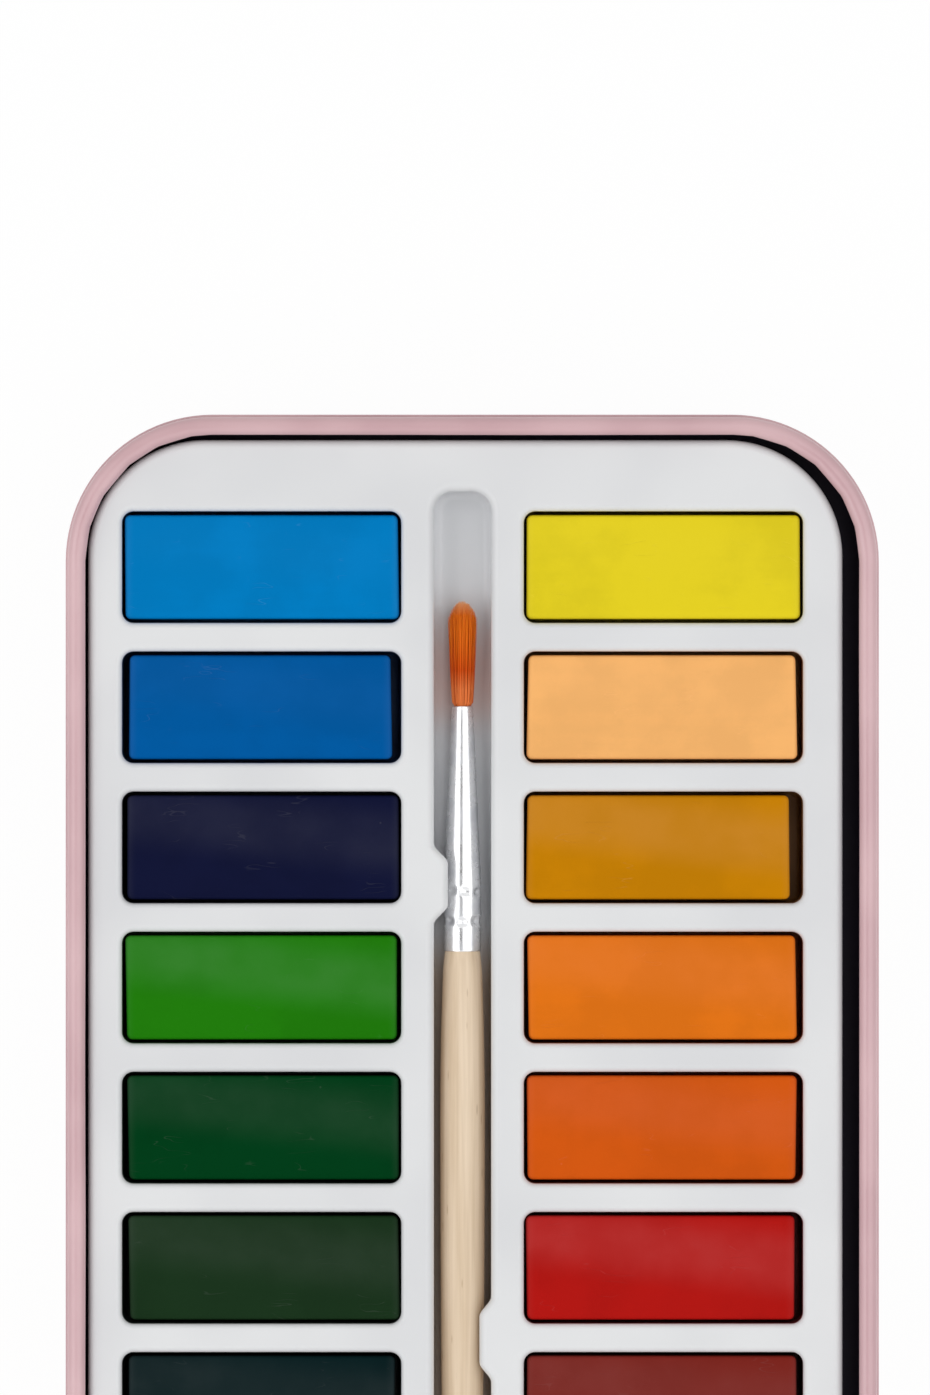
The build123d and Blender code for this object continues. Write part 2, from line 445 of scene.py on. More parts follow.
@dataclass(frozen=True)
class PinkEnamel:
    """Glossy pink enamel on drawn tin, with a faint peel and a few nicks."""

    name: str = "pink_enamel"
    light: Colour = shown(209, 173, 177)
    dark: Colour = shown(198, 160, 165)
    nick: Colour = shown(128, 98, 104)
    roughness: float = 0.3
    tone_size: float = 14.0 * MM
    tone_dulls: float = 0.08
    peel_size: float = 0.7 * MM
    peel_depth: float = 0.004 * MM
    nick_spacing: float = 9.0 * MM
    nick_lot: Span = (0.86, 0.87)
    nick_edge: Span = (0.018, 0.03)
    nick_stretch: Triple = (1.0, 1.0, 0.5)
    nick_turn: float = 35.0
    nick_dulls: float = 0.3
    nick_bite: float = 2.0
    coat: float = 0.2
    coat_roughness: float = 0.12

    def material(self) -> Finish:
        """Build the finish.

        Returns:
            The material.
        """
        sheet = NodeSheet.fresh(self.name)
        tone = sheet.patches(self.tone_size, FIRM)
        drawn_out = sheet.stretched(self.nick_stretch, self.nick_turn)
        nicks = sheet.spots(self.nick_spacing, self.nick_lot, self.nick_edge, drawn_out)
        peel = sheet.grain(self.peel_size) - nicks * self.nick_bite
        return sheet.surface(
            Base_Color=sheet.blend(nicks, sheet.blend(tone, self.dark, self.light), self.nick),
            Roughness=self.roughness + tone * self.tone_dulls + nicks * self.nick_dulls,
            Coat_Weight=self.coat,
            Coat_Roughness=self.coat_roughness,
            Normal=sheet.relief(peel, self.peel_depth),
        )


@dataclass(frozen=True)
class DarkInsideShade:
    """A dark finish on the inside of the tin, slightly cloudy: painted shade, as dark as the deep
    gap beside the tray.
    """

    name: str = "dark_lacquer"
    light: Colour = shown(55, 46, 64)
    dark: Colour = shown(34, 28, 42)
    roughness: float = 0.38
    shine: float = 0.2
    cloud_size: float = 6.0 * MM
    cloud_dulls: float = 0.2
    peel_size: float = 0.9 * MM
    peel_depth: float = 0.006 * MM

    def material(self) -> Finish:
        """Build the finish.

        Returns:
            The material.
        """
        sheet = NodeSheet.fresh(self.name)
        cloud = sheet.grain(self.cloud_size)
        return sheet.surface(
            Base_Color=sheet.blend(cloud, self.dark, self.light),
            Roughness=self.roughness + cloud * self.cloud_dulls,
            Specular_IOR_Level=self.shine,
            Normal=sheet.relief(sheet.grain(self.peel_size), self.peel_depth),
        )


@dataclass(frozen=True)
class TrayWhite:
    """Formed white plastic, its wells tinted dark in the paint's colour: partly stained by the
    paint that stood in them, partly painted shade and painted bounce of the cake's colour in the
    gap beside each cake.

    Low in the brush's groove the plastic is painted a little lighter and cooler, painted light
    against the groove's shade. Beside the wood it is painted warmer, painted bounce light from the
    wood and the brush's painted shadow, and beside the hair pinker, painted bounce light from the
    hair. The groove's outline keeps these tints off the tray's outer walls.
    """

    deck: float
    groove: Plan
    name: str = "tray_white"
    light: Colour = shown(222, 223, 224)
    dark: Colour = shown(214, 215, 217)
    roughness: float = 0.34
    shine: float = 0.35
    cloud_size: float = 22.0 * MM
    cloud_dulls: float = 0.1
    sheet_size: float = 7.0 * MM
    sheet_depth: float = 0.02 * MM
    # The paint's colour on the walls of the wells: partly where the paint stained them, partly
    # painted shade and painted bounce of the cake's colour in the gap beside the cake.
    stain_and_shade: str = "paint_stain"
    stain_and_shade_depth: Span = (0.62 * MM, 0.95 * MM)
    stain_and_shade_lift: float = 0.15 * MM
    stain_and_shade_rag: float = 0.3 * MM
    stain_and_shade_rag_size: float = 1.1 * MM
    stain_and_shade_dulls: float = 0.15
    # Smudges on the deck.
    smudge: Colour = shown(120, 118, 122)
    smudge_share: float = 0.35
    smudge_spacing: float = 11.0 * MM
    smudge_lot: Span = (0.93, 0.94)
    smudge_edge: Span = (0.01, 0.05)
    # The brush's groove, by how deep a place lies in it and how far past its outline; the light and
    # shadow in it are painted.
    # Painted light: the groove's plastic a little lighter and cooler.
    sunk: Colour = shown(224, 225, 227)
    sunk_depth: Span = (0.5 * MM, 2.6 * MM)
    sunk_edge: Span = (0.2 * MM, 0.5 * MM)
    # Painted bounce light and painted shadow where the handle lies.
    wood_bounce_and_shadow: Colour = shown(186, 156, 122)
    wood_bounce_share: float = 0.55
    wood_bounce_end: Span = (16.0 * MM, 24.0 * MM)
    # Painted bounce light where the hair lies.
    hair_bounce: Colour = shown(214, 160, 138)
    hair_bounce_share: float = 0.35
    hair_bounce_start: Span = (44.0 * MM, 49.0 * MM)
    hair_bounce_end: Span = (52.0 * MM, 59.0 * MM)

    def in_groove(self, sheet: NodeSheet) -> Signal:
        """Tell the groove's depth from the rest of the tray.

        Args:
            sheet: The finish's node sheet.

        Returns:
            A value of 1 low in the groove and 0 on the deck and past the groove's outline.
        """
        sunk = sheet.between(self.deck - sheet.axis("Z"), self.sunk_depth)
        past_side = abs(sheet.axis("X") - self.groove.x) - self.groove.width / 2
        past_end = abs(sheet.axis("Y") - self.groove.y) - self.groove.length / 2
        for past in (past_side, past_end):
            sunk = sunk * (1.0 - sheet.between(past, self.sunk_edge))
        return sunk

    def material(self) -> Finish:
        """Build the finish.

        Returns:
            The material.
        """
        sheet = NodeSheet.fresh(self.name)
        tint = sheet.attribute(self.stain_and_shade)
        ragged = sheet.grain(self.stain_and_shade_rag_size) * self.stain_and_shade_rag
        depth = self.deck + self.stain_and_shade_lift - sheet.axis("Z") - ragged
        # Painted shade and staining: the wells' walls below the lip take the darkened paint colour.
        walls = sheet.between(depth, self.stain_and_shade_depth) * tint.beside("Alpha")
        cloud = sheet.patches(self.cloud_size)
        smudges = sheet.spots(self.smudge_spacing, self.smudge_lot, self.smudge_edge)
        along = sheet.axis("Y")
        sunk = self.in_groove(sheet)
        wood = 1.0 - sheet.between(along, self.wood_bounce_end)
        hair = sheet.between(along, self.hair_bounce_start) * (1.0 - sheet.between(along, self.hair_bounce_end))
        plastic = sheet.blend(cloud, self.dark, self.light)
        # Smudges, then the groove's painted light, bounce and shadow, then the wells' colour.
        for share, colour in (
            (smudges * self.smudge_share, self.smudge),
            (sunk, self.sunk),
            (sunk * wood * self.wood_bounce_share, self.wood_bounce_and_shadow),
            (sunk * hair * self.hair_bounce_share, self.hair_bounce),
            (walls, tint),
        ):
            plastic = sheet.blend(share, plastic, colour)
        return sheet.surface(
            Base_Color=plastic,
            Roughness=self.roughness + cloud * self.cloud_dulls + walls * self.stain_and_shade_dulls,
            Specular_IOR_Level=self.shine,
            Normal=sheet.relief(sheet.grain(self.sheet_size), self.sheet_depth),
        )


@dataclass(frozen=True)
class CakePaint:
    """Cast watercolour paint: mottled, dusted and finely scratched, with a pale band of painted
    sheen and painted highlights at its ends.
    """

    name: str
    paint: Paint
    roughness: float = 0.44
    shine: float = 0.015
    mottle: float = 0.05
    mottle_size: float = 5.0 * MM
    mottle_dulls: float = 0.14
    cloud_size: float = 16.0 * MM
    grain_size: float = 0.35 * MM
    grain_depth: float = 0.012 * MM
    # Strokes along the cake, where it was wiped.
    wipe_size: float = 1.4 * MM
    wipe_stretch: Triple = (0.09, 1.0, 1.0)
    wipe_turn: float = 4.0
    # Shares of clouds, mottling, strokes and grain in the tone; of grain and strokes in the relief.
    tone_shares: tuple[float, ...] = (0.45, 0.25, 0.2, 0.1)
    relief_shares: Pair = (0.6, 0.5)
    # Scratches.
    score_size: float = 3.0 * MM
    score_stretch: Triple = (0.35, 1.6, 1.0)
    score_turn: float = 24.0
    score_edge: Span = (0.002, 0.007)
    score_patch: float = 4.5 * MM
    score_patch_span: Span = (0.56, 0.64)
    score_dust: float = 0.6
    score_dulls: float = 0.2
    # Specks of dust.
    speck_spacing: float = 3.4 * MM
    speck_lot: Span = (0.88, 0.89)
    speck_edge: Span = (0.02, 0.05)
    # The ends, pale with dusting and a painted highlight; the band of painted sheen and its even
    # and its broken part.
    end_band: float = 1.1 * MM
    end_dust_and_highlight: float = 0.3
    band_shift: float = 0.38
    band_lean: float = 20.0
    band_edge: Span = (0.1, 0.85)
    sheen_band_shares: Pair = (0.6, 0.4)
    pale_share: float = 1.03
    pale_lift: float = 0.02

    def scratches(self, sheet: NodeSheet) -> Signal:
        """Score fine scratches, which come and go in patches.

        Args:
            sheet: The finish's node sheet.

        Returns:
            A value of 1 in the scratches and 0 beside them.
        """
        drawn_out = sheet.stretched(self.score_stretch, self.score_turn)
        off_line = abs(sheet.grain(self.score_size, drawn_out) - 0.5)
        scored = sheet.patches(self.score_patch, self.score_patch_span)
        return (1.0 - sheet.between(off_line, self.score_edge)) * scored

    def dust_and_sheen(self, sheet: NodeSheet, mottled: Signal, low: Vector, high: Vector) -> Signal:
        """Scatter pale specks on a cake, pale its two ends with dusting and a painted highlight,
        and lay a slanting band of painted sheen.

        Args:
            sheet: The finish's node sheet.
            mottled: The patches that break up the painted sheen.
            low: The cake's lowest corner.
            high: The cake's highest corner.

        Returns:
            How pale the cake is there, from dusting and from painted highlight and sheen, 0 to 1.
        """
        middle = (low + high) / 2
        along = sheet.axis("X") - middle.x
        reach = abs(along) - ((high.x - low.x) / 2 - self.end_band)
        ends = sheet.between(reach, (0.0, self.end_band))
        across = (sheet.axis("Y") - middle.y) * (2.0 / (high.y - low.y)) + along * self.band_lean
        # Painted sheen: a pale slanting band, a reflection of the lights on the top.
        band = 1.0 - sheet.between(abs(across - self.band_shift), self.band_edge)
        specks = sheet.spots(self.speck_spacing, self.speck_lot, self.speck_edge)
        even, broken = self.sheen_band_shares
        return specks + ends * self.end_dust_and_highlight + band * (even + mottled * broken) * self.paint.painted_sheen

    def material(self, low: Vector, high: Vector) -> Finish:
        """Build the finish for a cake.

        Args:
            low: The cake's lowest corner.
            high: The cake's highest corner.

        Returns:
            The cake's material.
        """
        sheet = NodeSheet.fresh(self.name)
        cloud = sheet.patches(self.cloud_size)
        mottled = sheet.patches(self.mottle_size, detail=FINE)
        grain = sheet.grain(self.grain_size)
        wiped = sheet.grain(self.wipe_size, sheet.stretched(self.wipe_stretch, self.wipe_turn))
        scratches = self.scratches(sheet)
        tone = 0.0
        for signal, share in zip((cloud, mottled, wiped, grain), self.tone_shares):
            tone = signal * share + tone
        colour = self.paint.colour
        dark, light = toned(colour, 1.0 - self.mottle), toned(colour, 1.0 + self.mottle)
        # The pale colour serves the dusting and the painted sheen and highlights.
        pale = toned(colour, self.pale_share, self.pale_lift)
        body = sheet.blend(sheet.between(tone, SOFT), dark, light)
        dust_and_sheen_amount = scratches * self.score_dust + self.dust_and_sheen(sheet, mottled, low, high)
        rough, streaky = self.relief_shares
        return sheet.surface(
            Base_Color=sheet.blend(dust_and_sheen_amount, body, pale),
            Roughness=self.roughness + mottled * self.mottle_dulls + scratches * self.score_dulls,
            Specular_IOR_Level=self.shine,
            Normal=sheet.relief(grain * rough + wiped * streaky - scratches, self.grain_depth),
        )


@dataclass(frozen=True)
class BareWood:
    """Bare turned wood with its grain along the handle."""

    name: str = "bare_wood"
    light: Colour = shown(231, 211, 186)
    dark: Colour = shown(205, 181, 151)
    pore: Colour = shown(168, 138, 106)
    roughness: float = 0.55
    shine: float = 0.3
    grain_stretch: Triple = (1.0, 0.03, 1.0)
    band_size: float = 1.6 * MM
    band_share: float = 0.55
    fibre_size: float = 0.5 * MM
    fibre_share: float = 0.45
    fibre_depth: float = 0.012 * MM
    fibre_dulls: float = 0.15
    pore_spacing: float = 0.55 * MM
    pore_stretch: Triple = (1.0, 0.16, 1.0)
    pore_lot: Span = (0.8, 0.84)
    pore_edge: Span = (0.1, 0.25)
    pore_share: float = 0.5
    pore_bite: float = 0.6

    def material(self) -> Finish:
        """Build the finish.

        Returns:
            The material.
        """
        sheet = NodeSheet.fresh(self.name)
        drawn = sheet.stretched(self.grain_stretch)
        bands = sheet.patches(self.band_size, FIRM, drawn)
        fibres = sheet.grain(self.fibre_size, drawn, FINE)
        pore_place = sheet.stretched(self.pore_stretch)
        pores = sheet.spots(self.pore_spacing, self.pore_lot, self.pore_edge, pore_place)
        tone = bands * self.band_share + sheet.between(fibres, SOFT) * self.fibre_share
        body = sheet.blend(tone, self.dark, self.light)
        return sheet.surface(
            Base_Color=sheet.blend(pores * self.pore_share, body, self.pore),
            Roughness=self.roughness + fibres * self.fibre_dulls,
            Specular_IOR_Level=self.shine,
            Normal=sheet.relief(fibres - pores * self.pore_bite, self.fibre_depth),
        )


@dataclass(frozen=True)
class BrightMetal:
    """Drawn bright metal with fine marks along it."""

    name: str = "ferrule_metal"
    light: Colour = shown(236, 236, 237)
    dark: Colour = shown(216, 217, 220)
    roughness: float = 0.26
    dull_size: float = 2.5 * MM
    dull_span: Span = (0.4, 0.7)
    dulls: float = 0.08
    mark_size: float = 0.3 * MM
    mark_depth: float = 0.003 * MM
    mark_stretch: Triple = (1.0, 0.04, 1.0)

    def material(self) -> Finish:
        """Build the finish.

        Returns:
            The material.
        """
        sheet = NodeSheet.fresh(self.name)
        marks = sheet.grain(self.mark_size, sheet.stretched(self.mark_stretch))
        dull = sheet.patches(self.dull_size, self.dull_span)
        return sheet.surface(
            Base_Color=sheet.blend(dull, self.light, self.dark),
            Metallic=1.0,
            Roughness=self.roughness + dull * self.dulls,
            Normal=sheet.relief(marks, self.mark_depth),
        )


@dataclass(frozen=True)
class OrangeHair:
    """Dyed hair, streaked strand by strand and bleached at the tips."""

    name: str = "orange_hair"
    tone: str = "hair_tone"
    streak: Colour = shown(190, 68, 8)
    root: Colour = shown(246, 142, 76)
    core: Colour = shown(228, 92, 14)
    belly: Colour = shown(252, 138, 28)
    tip: Colour = shown(246, 186, 128)
    root_end: float = 0.16
    core_start: float = 0.34
    belly_span: Span = (0.72, 0.86)
    streak_lot: Span = (0.45, 0.95)
    streak_end: Span = (0.8, 1.0)
    streak_share: float = 0.75
    roughness: float = 0.36
    strand_dulls: float = 0.2
    shine: float = 0.25

    def material(self) -> Finish:
        """Build the finish.

        Returns:
            The material.
        """
        sheet = NodeSheet.fresh(self.name)
        tone = sheet.attribute(self.tone)
        along, own = sheet.part(tone, "Red"), sheet.part(tone, "Green")
        stops = (
            (0.0, self.root),
            (self.root_end, self.root),
            (self.core_start, self.core),
            (self.belly_span[0], self.belly),
            (self.belly_span[1], self.belly),
            (1.0, self.tip),
        )
        body = sheet.node("ShaderNodeValToRGB", {"stops": stops}, {0: along})
        unbleached = 1.0 - sheet.between(along, self.streak_end)
        streaked = sheet.between(own, self.streak_lot) * unbleached
        return sheet.surface(
            Base_Color=sheet.blend(streaked * self.streak_share, body, self.streak),
            Roughness=self.roughness + own * self.strand_dulls,
            Specular_IOR_Level=self.shine,
        )


class Bench:
    """Blender's own modelling operators, used on one piece at a time."""

    @staticmethod
    def clear() -> None:
        """Leave edit mode and deselect everything."""
        if bpy.context.mode != "OBJECT":
            bpy.ops.object.mode_set(mode="OBJECT")
        bpy.ops.object.select_all(action="DESELECT")

    @staticmethod
    def take(piece: Piece) -> None:
        """Make a piece the only selected and the active one.

        Args:
            piece: The piece.
        """
        Bench.clear()
        piece.select_set(True)
        bpy.context.view_layer.objects.active = piece

    @staticmethod
    def open(piece: Piece) -> None:
        """Open a piece in edit mode, all of it selected.

        Args:
            piece: The piece.
        """
        Bench.take(piece)
        bpy.ops.object.mode_set(mode="EDIT")
        bpy.ops.mesh.select_mode(type=Element.FACE.name)
        bpy.ops.mesh.select_all(action="SELECT")

    @staticmethod
    def settle(name: str) -> Piece:
        """Name the primitive that was just added and put its place in its mesh.

        Args:
            name: The piece's name.

        Returns:
            The piece.
        """
        piece = bpy.context.object
        piece.name = piece.data.name = name
        bpy.ops.object.transform_apply(location=True, rotation=True, scale=True)
        return piece

    @staticmethod
    def plate(name: str, height: float, plan: Plan, steps: int) -> Piece:
        """Add a flat plate with rounded corners and leave it open, its face selected.

        Args:
            name: The piece's name.
            height: The plate's height.
            plan: The plate's outline.
            steps: How many edges each corner has.

        Returns:
            The plate.
        """
        Bench.clear()
        bpy.ops.mesh.primitive_plane_add(size=1.0, location=(plan.x, plan.y, height))
        bpy.context.object.scale = (plan.width, plan.length, 1.0)
        piece = Bench.settle(name)
        Bench.open(piece)
        bpy.ops.mesh.bevel(offset=plan.corner, segments=steps, affect="VERTICES")
        bpy.ops.mesh.select_all(action="SELECT")
        return piece

    @staticmethod
    def disc(name: str, centre: Vector, radius: float, sides: int) -> Piece:
        """Add a filled disc that faces along the brush and leave it open, its face selected.

        Args:
            name: The piece's name.
            centre: The disc's centre.
            radius: Its radius.
            sides: How many edges it has.

        Returns:
            The disc.
        """
        Bench.clear()
        turn = (-math.pi / 2, 0.0, 0.0)
        bpy.ops.mesh.primitive_circle_add(
            vertices=sides, radius=radius, fill_type="NGON", location=centre, rotation=turn
        )
        piece = Bench.settle(name)
        Bench.open(piece)
        return piece

    @staticmethod
    def extrude(x: float, y: float, z: float) -> None:
        """Extrude the selected faces by a move."""
        bpy.ops.mesh.extrude_region_move(TRANSFORM_OT_translate={"value": (x, y, z)})

    @staticmethod
    def pick(element: Element, told: Callable[[Any], bool]) -> None:
        """Select the open piece's faces or edges that a test tells, and nothing else.

        Args:
            element: Faces or edges.
            told: Tells from a face or an edge whether it is selected.
        """
        bpy.ops.mesh.select_mode(type=element.name)
        bpy.ops.mesh.select_all(action="DESELECT")
        mesh = bpy.context.object.data
        shape = bmesh.from_edit_mesh(mesh)
        for item in shape.faces if element is Element.FACE else shape.edges:
            if told(item):
                item.select_set(True)
        bmesh.update_edit_mesh(mesh)

    @staticmethod
    def pick_faces(rule: Rule) -> None:
        """Select the open piece's faces whose middle and normal meet a rule."""
        Bench.pick(Element.FACE, lambda face: rule(face.calc_center_bounds(), face.normal))

    @staticmethod
    def pick_edges(rule: Rule) -> None:
        """Select the open piece's edges whose two ends meet a rule."""
        Bench.pick(Element.EDGE, lambda edge: rule(edge.verts[0].co, edge.verts[1].co))

    @staticmethod
    def round_edges(rule: Rule, radius: float, steps: int) -> None:
        """Round the open piece's edges whose two ends meet a rule."""
        Bench.pick_edges(rule)
        bpy.ops.mesh.bevel(offset=radius, segments=steps, affect="EDGES", clamp_overlap=False)

    @staticmethod
    def face_out() -> None:
        """Turn all the open piece's faces outwards."""
        bpy.ops.mesh.select_all(action="SELECT")
        bpy.ops.mesh.normals_make_consistent(inside=False)

    @staticmethod
    def reshape(piece: Piece, move: Callable[[Vector], Vector]) -> None:
        """Leave edit mode and move every vertex by a rule.

        Args:
            piece: The piece.
            move: Gives a vertex's new place from its old one.
        """
        Bench.take(piece)
        for vertex in piece.data.vertices:
            vertex.co = move(vertex.co.copy())
        piece.data.update()

    @staticmethod
    def apply(piece: Piece, kind: str, **settings: Any) -> None:
        """Add a modifier to a piece, set it and apply it.

        Args:
            piece: The piece.
            kind: The modifier's type.
            **settings: The modifier's own settings.
        """
        Bench.take(piece)
        modifier = piece.modifiers.new(kind.lower(), kind)
        for name, setting in settings.items():
            setattr(modifier, name, setting)
        bpy.ops.object.modifier_apply(modifier=modifier.name)

    @staticmethod
    def join(name: str, pieces: list[Piece]) -> Piece:
        """Join pieces into the first one and name it.

        Args:
            name: The joined piece's name.
            pieces: The pieces.

        Returns:
            The joined piece.
        """
        Bench.take(pieces[0])
        for piece in pieces:
            piece.select_set(True)
        bpy.ops.object.join()
        return Bench.settle(name)

    @staticmethod
    def smooth(piece: Piece, angle: float = 32.0) -> None:
        """Shade a piece smooth across edges that turn less than an angle in degrees."""
        Bench.take(piece)
        bpy.ops.object.shade_smooth_by_angle(angle=math.radians(angle))


class Assembly:
    """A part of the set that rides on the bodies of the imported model."""

    def dress(
        self, piece: Piece, body: str, slot: str, nodes: tuple[str, ...], *finishes: Finish
    ) -> Piece:
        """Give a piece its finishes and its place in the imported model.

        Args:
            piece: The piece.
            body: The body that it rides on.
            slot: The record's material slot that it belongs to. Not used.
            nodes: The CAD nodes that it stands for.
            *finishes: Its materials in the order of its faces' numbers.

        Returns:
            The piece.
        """
        for finish in finishes:
            piece.data.materials.append(finish)
        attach(piece, body)
        if nodes:
            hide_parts(*nodes)
        return piece

    def build(self) -> Iterator[Piece]:
        """Build the assembly's pieces one after the other."""
        raise NotImplementedError


@dataclass
class DrawnTin(Assembly):
    """A pan drawn from tin sheet, enamelled outside and dark inside, the inside a painted shade."""

    low: Vector
    high: Vector
    corner: float = 16.6 * MM
    corner_steps: int = 24
    sheet: float = 0.3 * MM
    edge_round: float = 1.5 * MM
    edge_steps: int = 6

    @property
    def plan(self) -> Plan:
        """The pan's outline at its widest."""
        return Plan.of(self.low, self.high, self.corner)

    def enamelled(self, pan: Piece, body: str, node: str) -> Piece:
        """Dress a pan and give its walls the sheet's thickness.

        Args:
            pan: The pan, still without thickness.
            body: The body that it rides on.
            node: The CAD node that it stands for.

        Returns:
            The pan.
        """
        # Pink enamel outside; inside, a dark painted shade.
        finishes = PinkEnamel().material(), DarkInsideShade().material()
        pan = self.dress(pan, body, "pink_enamel", (node,), *finishes)
        Bench.apply(pan, "SOLIDIFY", thickness=self.sheet, offset=-1.0, material_offset=1)
        Bench.smooth(pan)
        return pan


@dataclass
class TinLid(DrawnTin):
    """The slip lid, a shallow pan that lies under the base with its panel up."""

    def build(self) -> Iterator[Piece]:
        """Build the lid.

        Yields:
            The lid.
        """
        lid = Bench.plate("tin_lid", self.high.z, self.plan, self.corner_steps)
        Bench.extrude(0.0, 0.0, self.low.z - self.high.z)
        Bench.face_out()
        Bench.pick_faces(lambda middle, normal: normal.z < -LEVEL)
        bpy.ops.mesh.delete(type="FACE")
        panel = self.high.z - SLACK
        Bench.round_edges(lambda a, b: min(a.z, b.z) > panel, self.edge_round, self.edge_steps)
        yield self.enamelled(lid, "lid", "lid_shell")


@dataclass
class TinBase(DrawnTin):
    """The base of the tin: a pan with a shoulder, a neck and a rolled rim."""

    # The shoulder and the neck.
    neck_step: float = 0.42 * MM
    neck_height: float = 6.6 * MM
    shoulder_round: float = 0.24 * MM
    shoulder_steps: int = 4
    # The rolled rim.
    bead: float = 1.0 * MM
    bead_share: float = 0.985
    bead_steps: int = 7
    rim_corner_steps: int = 40
    rim_side_cuts: int = 40
    # The pleats of a corner, in shares of its turn, and how many beads in they start.
    pleat_breaks: tuple[float, ...] = (0.0, 0.17, 0.34, 0.55, 0.72, 0.9, 1.0)
    pleat_depth: float = 0.8
    pleat_start: float = 0.55
    pleat_run: float = 1.1
    # The sides' waver and the dents on top.
    waver_pitch: float = 45.0
    waver_depth: float = 0.05 * MM
    dent_pitch: float = 90.0
    dent_shift: Triple = (3.0, 1.0, 0.0)
    dent_depth: float = 0.015 * MM
    rim_smooth: float = 50.0

    def build(self) -> Iterator[Piece]:
        """Build the pan and its rolled rim.

        Yields:
            The pan, then the rim.
        """
        pan = self.enamelled(self.pan(), "base", "base_shell")
        yield pan
        yield self.dress(self.rim(), "base", "pink_enamel", (), pan.data.materials[0])

    def pan(self) -> Piece:
        """Draw the pan up to the middle of the rolled rim.

        Returns:
            The pan, still without thickness.
        """
        plan = self.plan
        shoulder = self.high.z - self.neck_height
        wall_top = self.high.z - self.bead
        pan = Bench.plate("tin_base", self.low.z, plan, self.corner_steps)
        Bench.extrude(0.0, 0.0, shoulder - self.low.z)
        bpy.ops.mesh.inset(thickness=self.neck_step)
        Bench.extrude(0.0, 0.0, wall_top - shoulder)
        bpy.ops.mesh.delete(type="FACE")
        Bench.face_out()
        floor = self.low.z + SLACK
        Bench.round_edges(lambda a, b: max(a.z, b.z) < floor, self.edge_round, self.edge_steps)

        def on_shoulder(a: Vector, b: Vector) -> bool:
            """Tell the shoulder's outer edges."""
            level = abs(a.z - shoulder) < SLACK and abs(b.z - shoulder) < SLACK
            return level and max(plan.inside(a), plan.inside(b)) < self.neck_step / 2

        Bench.round_edges(on_shoulder, self.shoulder_round, self.shoulder_steps)
        return pan

    def pleat(self, spoke: Vector) -> float:
        """Work out how far the rim sags inwards between two pleats of a corner.

        Args:
            spoke: The way from the corner's centre to a place on the rim.

        Returns:
            The sag at that place.
        """
        turn = math.atan2(abs(spoke.y), abs(spoke.x)) / (math.pi / 2)
        for near, far in zip(self.pleat_breaks, self.pleat_breaks[1:]):
            if near <= turn <= far:
                half = (far - near) * math.pi / 4
                off = (turn - (near + far) / 2) * math.pi / 2
                return self.pleat_depth * (1.0 - math.cos(half) / math.cos(off)) * spoke.length
        return 0.0

    def rim(self) -> Piece:
        """Roll the rim, its inner side pleated where it turns the corners.

        Returns:
            The rim.
        """
        plan = self.plan.grown(-self.neck_step)
        thickness = 2 * self.bead
        rim = Bench.plate("rolled_rim", self.high.z - thickness, plan, self.rim_corner_steps)
        bpy.ops.mesh.inset(thickness=thickness)
        bpy.ops.mesh.delete(type="FACE")
        # Only the four straight sides have edges this long.
        Bench.pick_edges(lambda a, b: (a - b).length > 5 * thickness)
        bpy.ops.mesh.subdivide(number_cuts=self.rim_side_cuts)
        bpy.ops.mesh.select_all(action="SELECT")
        Bench.extrude(0.0, 0.0, thickness)
        Bench.face_out()

        def lengthwise(a: Vector, b: Vector) -> bool:
            """Tell the edges that run along the rim."""
            return abs(a.z - b.z) < SLACK and abs(plan.inside(a) - plan.inside(b)) < SLACK

        Bench.round_edges(lengthwise, self.bead * self.bead_share, self.bead_steps)
        middle = self.high.z - self.bead

        def rolled(place: Vector) -> Vector:
            """Pleat the inner side at the corners, let the sides waver and dent the top.

            Args:
                place: A vertex of the rim.

            Returns:
                Its new place.
            """
            spoke = place - plan.core(place)
            inner = smoothstep((plan.inside(place) / self.bead - self.pleat_start) / self.pleat_run)
            at_corner = min(abs(spoke.x), abs(spoke.y)) > SLACK
            inward = self.pleat(spoke) if at_corner else 0.0
            waver = noise.noise(place * self.waver_pitch) * self.waver_depth * inner
            top = smoothstep((place.z - middle) / self.bead)
            spot = place * self.dent_pitch + Vector(self.dent_shift)
            dent = abs(noise.noise(spot) * self.dent_depth * top)
            moved = place - spoke.normalized() * (inward * inner - waver)
            return moved - Vector((0.0, 0.0, dent))

        Bench.reshape(rim, rolled)
        Bench.smooth(rim, self.rim_smooth)
        return rim


